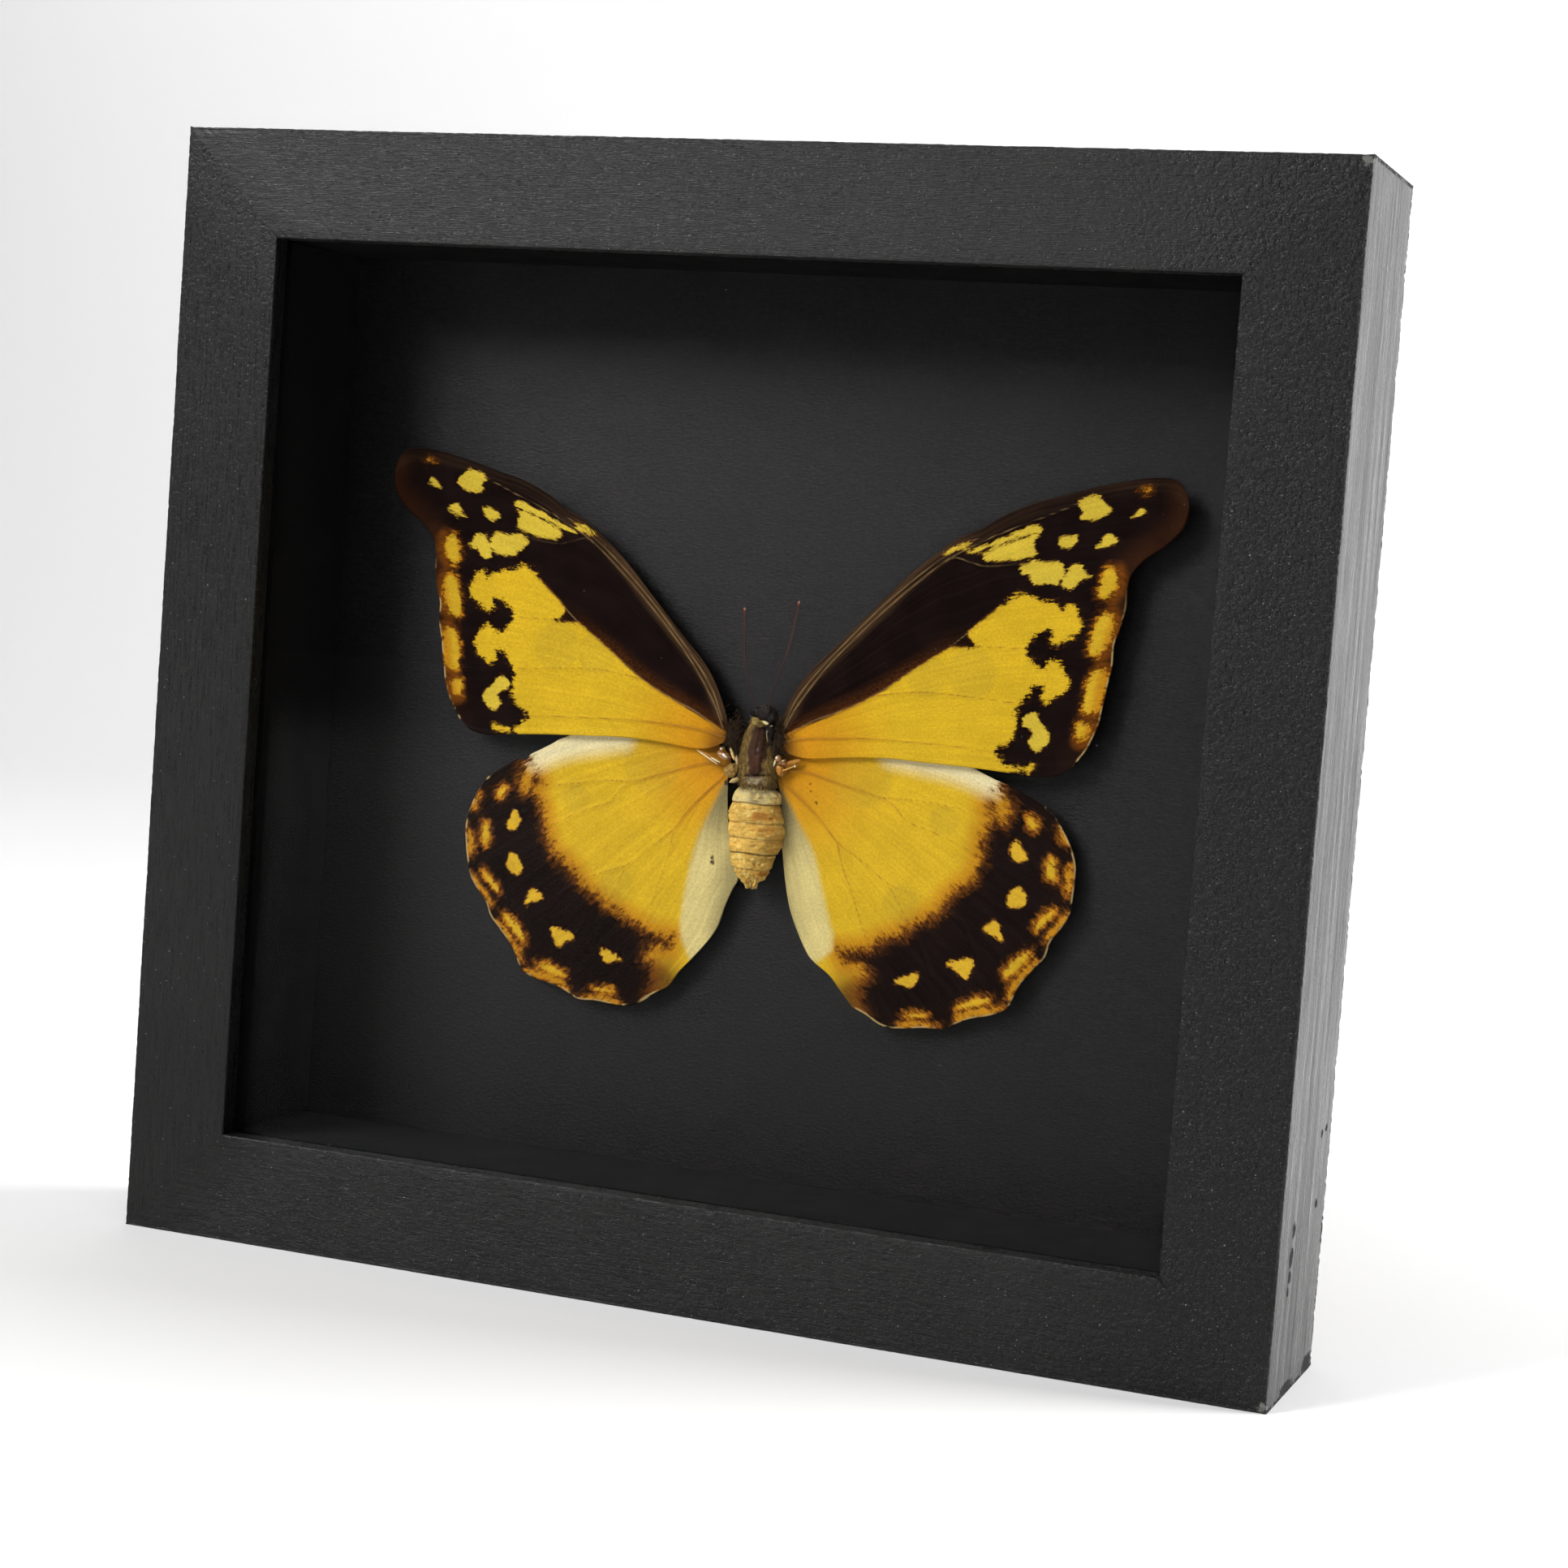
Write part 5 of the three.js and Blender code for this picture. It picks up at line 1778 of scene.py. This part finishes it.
@dataclass(frozen=True)
class Body:
    """Head, thorax, abdomen and feelers of the butterfly.

    Attributes:
        thorax: The middle section.
        abdomen: The hind section.
        rings_at: The heights of the abdomen's joints.
        feelers: The feelers, by their nodes.
    """

    thorax: Section = Section(
        left=((1.5, 0.1), (1.1, -0.7), (0.2, -1.2), (-1.5, -1.7), (-4, -1.9), (-6.5, -1.9), (-8.3, -1.7),
              (-9.5, -1.2)),
        right=((1.5, 1.5), (1.1, 2.3), (0.2, 2.6), (-1.5, 3.0), (-3.2, 3.5), (-5.5, 4.1), (-7, 4.1),
               (-8.3, 4.1), (-9.5, 3.8)),
        middle=26.3,
        depth_share=1.0,
    )
    abdomen: Section = Section(
        left=((-9.4, -1.2), (-9.8, -2.0), (-10.6, -2.4), (-12, -2.8), (-13.5, -3.35), (-15.2, -3.2),
              (-17, -3.1), (-19, -2.9), (-20.6, -2.75), (-22, -2.45), (-23.5, -1.85), (-24.4, -1.2),
              (-25.0, -0.6), (-25.6, 0.3), (-26.4, 0.8)),
        right=((-9.4, 3.6), (-9.8, 4.6), (-10.6, 5.2), (-12, 5.6), (-13.5, 5.7), (-15.2, 6.1), (-17, 6.5),
               (-19, 6.1), (-20.6, 5.2), (-22, 4.8), (-23.5, 4.3), (-24.4, 3.7), (-25.0, 3.0), (-25.6, 2.2),
               (-26.4, 1.8)),
        rings=230,
        sides=150,
    )
    rings_at: tuple[float, ...] = (-9.4, -12.1, -15.3, -17.9, -20.5, -23.2, -26.4)
    feelers: tuple[tuple[str, Feeler], ...] = (
        (
            "antenna_left",
            Feeler(
                ((0.4, 24.2, 4.0), (-0.6, 24.3, 6.5), (-1.7, 24.6, 10), (-2.6, 25, 15), (-3.1, 25.2, 20.2))
            ),
        ),
        (
            "antenna_right",
            Feeler(
                ((2.8, 24.2, 4.0), (3.4, 24.3, 6.5), (4.3, 24.6, 10), (5.6, 25, 15.5), (6.5, 25.2, 22))
            ),
        ),
    )

    def _abdomen(self) -> Mesh:
        """A dry, crumbly barrel of six rings, ragged at its tip.

        Each ring bulges by a half sine, and its hind lip stands a little over the next.
        """
        z, turn, centre, half = self.abdomen.grid()
        joints = np.array(self.rings_at)[::-1]
        ring = np.clip(np.searchsorted(joints, z) - 1, 0, len(joints) - 2)
        low, high = joints[ring], joints[ring + 1]
        share = (z - low) / (high - low)
        bulge = 0.2 * np.sqrt(np.clip(np.sin(np.pi * share), 0, 1)) + 0.16 * (1 - share) - 0.2
        arc = turn * 4.0
        crumbs = 0.13 * patchy(arc, z, 1.3, 41, 4)
        cracks = -0.16 * ease_between(patchy(arc * 0.6, z * 2.2, 1.5, 43), 0.42, 0.75)
        tip = 1 - ease_between(z, -26.0, -22.5)
        ragged = 0.5 * tip * patchy(arc, z, 0.8, 47, 3)
        wrinkles = 0.06 * patchy(arc * 1.3, z * 2.2, 0.8, 53, 3)
        points = self.abdomen.skin(z, turn, centre, half, bulge + crumbs + cracks + ragged + wrinkles)
        points[..., 2] += tip * 0.28 * patchy(arc, z * 0.3, 1.1, 59, 3)
        return closed_rings(points, self._abdomen_tint(points, z, turn, share), np.full(z.shape, 0.2))

    @staticmethod
    def _abdomen_tint(points: np.ndarray, z: np.ndarray, turn: np.ndarray, share: np.ndarray) -> np.ndarray:
        """Grey first ring, tan behind, with brown patches on the right and dark joints."""
        x = points[..., 0]
        tan, grey = np.array([0.6, 0.36, 0.075]), np.array([0.58, 0.46, 0.2])
        brown, dark = np.array([0.4, 0.17, 0.025]), np.array([0.06, 0.04, 0.025])
        pale = np.array([0.72, 0.53, 0.16])
        blotch = patchy(x * 0.8, z * 1.6, 2.0, 61, 3)
        tint = tan * (1 + 0.22 * blotch)[..., None]

        def over(base: np.ndarray, colour: np.ndarray, share_of: np.ndarray) -> np.ndarray:
            """Lays a colour over another."""
            return base + (colour - base) * np.clip(share_of, 0, 1)[..., None]

        first = 1 - ease_between(-z, 11.7, 12.3)
        tint = over(tint, grey, first)
        dim = np.exp(-(((x - 2.2) / 1.1) ** 2)) + ease_between(z, -10.6, -9.8)
        tint = over(tint, np.array([0.12, 0.1, 0.06]), 0.75 * first * np.clip(dim, 0, 1))
        tint = over(tint, pale, 0.7 * ease_between(patchy(x, z * 1.3, 0.8, 67, 4), 0.1, 0.7))
        tint = over(tint, brown, 0.5 * ease_between(patchy(x * 1.2, z * 1.4, 0.7, 73, 4), 0.55, 0.9))
        for height, reach in ((-14.1, 0.75), (-16.6, 0.75), (-13.6, 0.4), (-23.8, 0.35)):
            near = np.exp(-(((z - height) / reach) ** 2))
            near = near * ease_between(x, 1.4, 2.8) * ease_between(-x, -6.2, -5.0)
            tint = over(tint, brown, near * (0.62 + 0.9 * patchy(x, z * 2, 1.2, 71, 2)))
        line = np.minimum(share, 1 - share)
        weights = {-12.1: 0.75, -15.3: 0.3, -17.9: 0.25, -20.5: 0.9, -23.2: 0.2}
        for height, strength in weights.items():
            gap = z - height - 0.12 * np.sin(x * 0.9 + 1.0)
            tint = over(tint, dark, strength * np.exp(-((gap / 0.13) ** 2)))
        under = ease_between(-np.sin(turn), 0.1, 0.7)
        return over(tint, grey * 0.7, 0.5 * under) * (0.9 + 0.1 * ease_between(line, 0.0, 0.15))[..., None]

    def _thorax(self) -> Mesh:
        """The thorax: a bare brown shield with grooves between furred flanks."""
        z, turn, centre, half = self.thorax.grid()
        x = centre + half * np.cos(turn)
        facing = ease_between(np.sin(turn), 0.1, 0.5)
        from_axis = np.abs(x - 1.5)
        reach = 0.75 + 0.8 * np.sin(np.pi * np.clip((z + 8.6) / 10.0, 0, 1))
        beyond = from_axis + 0.4 * patchy(z * 1.5, x * 1.5, 1.0, 81, 4) - reach
        shield = facing * (1 - ease_between(beyond, -0.45, 0.35))
        shield *= ease_between(z, -8.2, -7.2) * (1 - ease_between(z, 0.5, 1.1))
        grooves = sum(np.exp(-(((x - line) / 0.12) ** 2)) for line in (0.4, 1.5, 2.5))
        rise = 0.1 * shield * (1 - 0.9 * grooves) + 0.12 * patchy(turn * 3, z, 1.2, 83, 4)
        joint = np.exp(-(((z + 7.6 - 0.1 * x) / 0.2) ** 2)) + np.exp(-(((z + 9.35) / 0.22) ** 2))
        rise = rise + 0.1 * shield * patchy(x * 2, z * 1.4, 1.1, 89, 3)
        points = self.thorax.skin(z, turn, centre, half, rise - 0.3 * joint)
        brown, red = np.array([0.036, 0.015, 0.007]), np.array([0.058, 0.017, 0.007])
        ochre, tan = np.array([0.16, 0.098, 0.032]), np.array([0.2, 0.15, 0.085])
        ease = ease_between(-z, 7.2, 8.2)[..., None]
        tint = ochre * (1 - ease) + tan * ease
        rim = ease_between(np.abs(x - 1.4), 1.5, 2.3) * ease_between(-z, 0.5, 2.5)
        tint = tint + (FUR_GOLD - tint) * (0.7 * rim)[..., None]
        tint = tint * np.clip(1 + 0.75 * patchy(turn * 3, z, 0.8, 87, 4), 0.2, 2.0)[..., None]
        middle = np.exp(-(((x - 1.5) / 0.6) ** 2) - ((z + 5.0) / 1.8) ** 2)[..., None]
        plate = brown * (1 - middle) + red * middle
        tint = tint * (1 - shield[..., None]) + plate * shield[..., None]
        tint = tint * (1 - 0.75 * np.clip(joint, 0, 1))[..., None]
        spot = np.exp(-(((x - 1.6) / 0.35) ** 2) - ((z + 3.7) / 0.8) ** 2)
        return closed_rings(points, tint, 0.28 + 0.04 * shield + 0.6 * shield * spot)

    def _fur(self) -> Mesh:
        """Hair on the thorax's flanks, lying back and outwards, thicker towards the neck."""
        rng = np.random.default_rng(5)
        count = 5200
        z_all, turn_all, centre, half = self.thorax.grid()
        ring = rng.integers(4, self.thorax.rings - 4, count)
        turn = rng.uniform(0, 2 * np.pi, count)
        z, mid, wide = z_all[ring, 0], centre[ring, 0], half[ring, 0]
        out = np.stack([np.cos(turn), -np.sin(turn), np.zeros(count)], 1)
        roots = np.stack([mid + wide * out[:, 0], self.thorax.middle + wide * out[:, 1], z], 1)
        bare = (np.abs(roots[:, 0] - 1.5) < rng.uniform(1.4, 2.4, count)) & (np.sin(turn) > 0.3)
        bare &= (z > -8.6) & (z < 0.9)
        kept = ~bare
        lean = out * 0.55 + np.array([0.0, 0.0, -1.0]) + rng.normal(0, 0.28, (count, 3))
        length = rng.uniform(0.4, 1.25, count)
        blend = rng.uniform(0, 1, (count, 1))
        tint = np.array(FUR_GOLD) * blend + np.array(FUR_OLIVE) * (1 - blend)
        tufts = [hairs(roots[kept], lean[kept], length[kept], 0.085, tint[kept])]
        for x, side in ((4.3, 1.0), (-3.0, -1.0)):
            roots = rng.normal(0, 1, (900, 3)) * (0.75, 0.4, 1.5) + (x, 25.5, -1.2)
            lean = rng.normal(0, 0.45, (900, 3)) + (side * 0.7, -0.3, -0.5)
            shade = rng.uniform(0, 1, (900, 1)) ** 3
            tint = np.array((0.03, 0.017, 0.01)) * (1 - shade) + np.array(FUR_OLIVE) * shade
            tufts.append(hairs(roots, lean, rng.uniform(0.4, 1.1, 900), 0.09, tint))
        return Mesh.joined(tufts)

    def _wing_bases(self) -> list[Mesh]:
        """Glossy plates and membranes where the wings are hinged, with white specks as painted highlights.
        """
        brown, orange, skin = (0.024, 0.013, 0.008), (0.36, 0.15, 0.02), (0.32, 0.14, 0.04)
        lumps = (
            # The white specks, and the small cream speck at (5.8, 25.0, -4.6), are painted highlights for
            # glints.
            Lump((4.4, 26.0, -1.4), (1.0, 0.8, 1.9), brown, 0.35, 0.25, -12),
            Lump((4.9, 25.1, -4.35), (0.62, 0.5, 0.5), skin, 0.95, 0.25),
            Lump((5.3, 25.4, -5.0), (0.9, 0.35, 0.42), skin, 0.9, 0.45, 18),
            Lump((4.8, 24.6, -4.2), (0.2, 0.15, 0.22), PAINTED_GLINT_WHITE, 0.95, 0.2),
            Lump((5.8, 25.0, -4.6), (0.2, 0.12, 0.1), CREAM, 0.9, 0.3, 30),
            Lump((4.4, 25.0, -5.0), (0.16, 0.2, 0.7), CREAM, 0.9, 0.2, -14),
            Lump((6.9, 25.9, -5.0), (1.6, 0.25, 0.4), orange, 0.4, 0.3, 22),
            Lump((5.2, 25.9, -6.2), (0.8, 0.7, 1.1), orange, 0.5, 0.3, 25),
            Lump((7.9, 25.2, -5.35), (0.22, 0.22, 0.22), CREAM, 0.95, 0.05),
            Lump((6.6, 25.5, -5.9), (1.5, 0.2, 0.14), (0.55, 0.3, 0.06), 0.45, 0.25, 24),
            Lump((-3.2, 26.0, -1.6), (1.3, 0.8, 1.9), brown, 0.35, 0.25, 18),
            Lump((-5.2, 25.0, -3.6), (0.42, 0.4, 0.34), skin, 0.95, 0.2),
            Lump((-5.0, 25.3, -4.6), (1.2, 0.35, 0.5), skin, 0.9, 0.45, -16),
            Lump((-5.2, 24.5, -3.6), (0.2, 0.15, 0.16), PAINTED_GLINT_WHITE, 0.95, 0.2),
            Lump((-4.6, 24.8, -4.7), (0.5, 0.15, 0.2), PAINTED_GLINT_WHITE, 0.95, 0.4, -30),
            Lump((-6.3, 25.1, -5.6), (0.9, 0.2, 0.13), CREAM, 0.9, 0.2, -22),
            Lump((-3.4, 25.3, -4.3), (0.3, 0.35, 1.05), (0.66, 0.45, 0.17), 0.85, 0.12, 24),
            Lump((-2.6, 25.5, -5.3), (0.26, 0.3, 0.8), (0.6, 0.42, 0.2), 0.8, 0.1, 10),
            Lump((-7.6, 25.7, -5.3), (2.2, 0.32, 0.42), orange, 0.75, 0.12, -22),
            Lump((-7.9, 25.4, -5.3), (2.3, 0.16, 0.12), CREAM, 0.95, 0.1, -28),
            Lump((-3.6, 26.1, -7.2), (1.2, 0.6, 1.0), (0.26, 0.15, 0.04), 0.25, 0.4, 30),
            Lump((-2.8, 25.6, -8.7), (0.9, 0.5, 0.35), (0.5, 0.36, 0.15), 0.5, 0.2, 30),
        )
        return [lump.build() for lump in lumps]

    def _head(self) -> Mesh:
        """The head, turned to the viewer's right: eyes, mouth feelers, neck and collar."""
        lumps = (
            Lump((2.1, 25.4, 2.7), (1.9, 1.7, 1.3), DARK_CHITIN, 0.35, 0.3),
            Lump((3.35, 25.0, 2.5), (1.1, 1.2, 1.15), DARK_CHITIN, 0.55, 0.08),
            Lump((0.8, 25.2, 3.1), (0.95, 1.15, 0.95), DARK_CHITIN, 0.55, 0.08),
            Lump((2.0, 24.6, 3.9), (0.6, 0.7, 0.5), (0.03, 0.02, 0.016), 0.6, 0.35),
            Lump((3.0, 24.5, 3.8), (0.35, 0.4, 0.5), (0.03, 0.02, 0.016), 0.6, 0.3, 30),
            Lump((3.2, 25.5, 0.5), (0.95, 1.3, 1.4), DARK_CHITIN, 0.38, 0.3),
            Lump((3.1, 26.2, -1.4), (0.8, 1.0, 1.5), DARK_CHITIN, 0.45, 0.3),
            Lump((1.1, 24.6, 1.5), (1.1, 0.9, 0.7), (0.24, 0.165, 0.05), 0.2, 0.45, -18),
            Lump((2.7, 23.9, 1.45), (0.5, 0.35, 0.24), (0.66, 0.56, 0.28), 0.3, 0.45, -16),
            Lump((3.1, 23.9, -0.9), (0.1, 0.15, 0.9), (0.26, 0.21, 0.11), 0.4, 0.3, 10),
            Lump((3.0, 24.0, 0.0), (0.16, 0.16, 0.22), (0.2, 0.19, 0.17), 0.7, 0.1),
            Lump((3.5, 24.3, 1.0), (0.3, 0.2, 0.12), (0.45, 0.38, 0.22), 0.5, 0.2, 20),
        )
        rng = np.random.default_rng(9)
        count = 900
        reach = ((-0.3, 3.9), (24.0, 25.6), (0.9, 3.6))
        roots = np.stack([rng.uniform(low, high, count) for low, high in reach], 1)
        lean = rng.normal(0, 0.6, (count, 3)) + np.array([0.0, -0.8, 0.5])
        collar = (roots[:, 2] < 2.1) & (roots[:, 0] < 2.6)
        tint = np.where(collar[:, None], np.array(FUR_GOLD), np.array([0.02, 0.014, 0.012]))
        tuft = hairs(roots, lean, rng.uniform(0.3, 0.8, count), 0.06, tint)
        return Mesh.joined([*(lump.build() for lump in lumps), tuft])

    def dress(self) -> None:
        """Builds the head, thorax, abdomen and feelers and stands each for its node."""
        dark = BodySkin("Head chitin", 0.00004, 0.15).material()
        fur = BodySkin("Thorax fur", 0.00006, 0.25).material()
        dry = BodySkin("Abdomen plates", 0.00009, 0.16).material()
        red = BodySkin("Antenna chitin", 0.00001, 0.1).material()
        stand_for(self._head().to_object("detailed_head", dark), "head")
        thorax = Mesh.joined([self._thorax(), self._fur(), *self._wing_bases()])
        stand_for(thorax.to_object("detailed_thorax", fur), "thorax")
        stand_for(self._abdomen().to_object("detailed_abdomen", dry), "abdomen")
        for node, feeler in self.feelers:
            stand_for(feeler.build().to_object("detailed_" + node, red), node)


# ---------------------------------------------------------------- studio


@dataclass(frozen=True)
class Softbox:
    """A rectangular lamp.

    Attributes:
        name: Its name.
        at: Where it hangs, in metres.
        towards: The point it faces.
        size: Its width and height.
        watts: Its power.
    """

    name: str
    at: Triple
    towards: Triple
    size: Pair
    watts: float


@dataclass(frozen=True)
class Studio:
    """A pale sweep, soft lamps and the camera.

    Attributes:
        lens: Focal length in millimetres on a 36 mm wide sensor.
        camera_at: Where the camera is, in metres.
        camera_axes: The camera's right, up and backward directions.
        around: The brightness of the air around the set.
        softboxes: Its lamps.
        floor: How far the floor reaches in front and behind before it bends up, in metres.
        bend: The radius of the bend.
        wall: How high the wall behind it reaches.
        half_width: Half of the sweep's width.
        white: The sweep's colour.
    """

    lens: float = 71.3
    camera_at: Triple = (0.1865, -0.47705, 0.1228)
    camera_axes: tuple[Triple, Triple, Triple] = (
        (0.93235, 0.35402, 0.07338),
        (-0.09411, 0.04166, 0.99469),
        (0.34909, -0.93431, 0.07216),
    )
    around: float = 0.1
    softboxes: tuple[Softbox, ...] = (
        Softbox("High front left", (-0.75, -1.0, 0.87), (0.0, 0.0, 0.1), (0.6, 0.6), 21.5),
        Softbox("Right rear", (0.95, 0.5, 0.45), (0.1, 0.2, 0.1), (0.7, 0.9), 22.5),
        Softbox("Left wall", (-0.8, 0.7, 1.3), (-0.6, 1.35, 1.1), (0.9, 0.6), 4.2),
        Softbox("Overhead", (0.0, -0.55, 1.15), (0.0, 0.0, 0.05), (1.2, 0.7), 3.0),
    )
    floor: Pair = (-2.2, 0.75)
    bend: float = 0.6
    wall: float = 2.4
    half_width: float = 2.5
    white: Colour = (0.92, 0.92, 0.92)

    def build(self) -> None:
        """Makes the floor, the lamps, the air and the camera."""
        self._sweep()
        for box in self.softboxes:
            self._lamp(box)
        self._air()
        self._camera()

    def _sweep(self) -> bpy.types.Object:
        """The floor that curves up behind: a line of floor, a quarter circle and a wall."""
        start, end = self.floor
        angle = np.linspace(0.0, np.pi / 2, 24)
        bend = np.stack([end + self.bend * np.sin(angle), self.bend - self.bend * np.cos(angle)], 1)
        line = np.vstack([[[start, 0.0]], bend, [[end + self.bend, self.wall]]])
        sides = (-self.half_width, self.half_width)
        points = np.array([(x, y, z) for y, z in line for x in sides])
        mesh = bpy.data.meshes.new("sweep")
        mesh.from_pydata(points.tolist(), [], grid_faces(len(line), 2))
        mesh.polygons.foreach_set("use_smooth", [True] * len(mesh.polygons))
        material, g = new_material("Pale sweep")
        g.close(g.surface(Base_Color=self.white, Roughness=0.9, Specular_IOR_Level=0.1))
        mesh.materials.append(material)
        sweep = bpy.data.objects.new("sweep", mesh)
        bpy.context.scene.collection.objects.link(sweep)
        return sweep

    @staticmethod
    def _lamp(box: Softbox) -> None:
        """Hangs one softbox."""
        lamp = bpy.data.lights.new(box.name, "AREA")
        lamp.shape = "RECTANGLE"
        lamp.size, lamp.size_y = box.size
        lamp.energy = box.watts
        obj = bpy.data.objects.new(box.name, lamp)
        obj.location = box.at
        obj.rotation_euler = (Vector(box.towards) - Vector(box.at)).to_track_quat("-Z", "Y").to_euler()
        bpy.context.scene.collection.objects.link(obj)

    def _air(self) -> None:
        """An even grey surround."""
        world = bpy.data.worlds.new("Air")
        world.use_nodes = True
        background = world.node_tree.nodes["Background"]
        background.inputs["Color"].default_value = (1.0, 1.0, 1.0, 1.0)
        background.inputs["Strength"].default_value = self.around
        bpy.context.scene.world = world

    def _camera(self) -> None:
        """The camera, upright."""
        data = bpy.data.cameras.new("Camera")
        data.sensor_width = 36.0
        data.sensor_fit = "HORIZONTAL"
        data.lens = self.lens
        data.clip_start = 0.01
        camera = bpy.data.objects.new("Camera", data)
        turn = Matrix(self.camera_axes).transposed().to_4x4()
        camera.matrix_world = Matrix.Translation(self.camera_at) @ turn
        bpy.context.scene.collection.objects.link(camera)
        bpy.context.scene.camera = camera
        bpy.context.scene.view_settings.view_transform = "Standard"


# ---------------------------------------------------------------- everything together


def main() -> None:
    """Builds the box, the butterfly and the studio."""
    logging.basicConfig(level=logging.INFO, format="%(name)s: %(message)s")
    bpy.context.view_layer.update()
    effects = Effects()
    Rails().dress(PaintedWood().material(effects))
    KeptSolids().dress(effects)
    fore = WingScales("Forewing scales", tip_rust=1.0).material(effects)
    hind = WingScales(
        "Hindwing scales",
        spot=(0.6, 0.36, 0.025),
        glow=(0.19, 0.058, 0.007),
        border_soft=1.7,
        tip_rust=0.35,
        ember_share=0.85,
    ).material(effects)
    Wing(FOREWING, RIGHT_SET).dress("forewing_right", "forewing_membrane", fore)
    Wing(FOREWING, LEFT_FOREWING_SET).dress("forewing_left", "forewing_membrane", fore)
    Wing(HINDWING, RIGHT_HINDWING_SET).dress("hindwing_right", "hindwing_membrane", hind)
    Wing(HINDWING, LEFT_HINDWING_SET).dress("hindwing_left", "hindwing_membrane", hind)
    Body().dress()
    Studio().build()


if __name__ == "__main__":
    main()
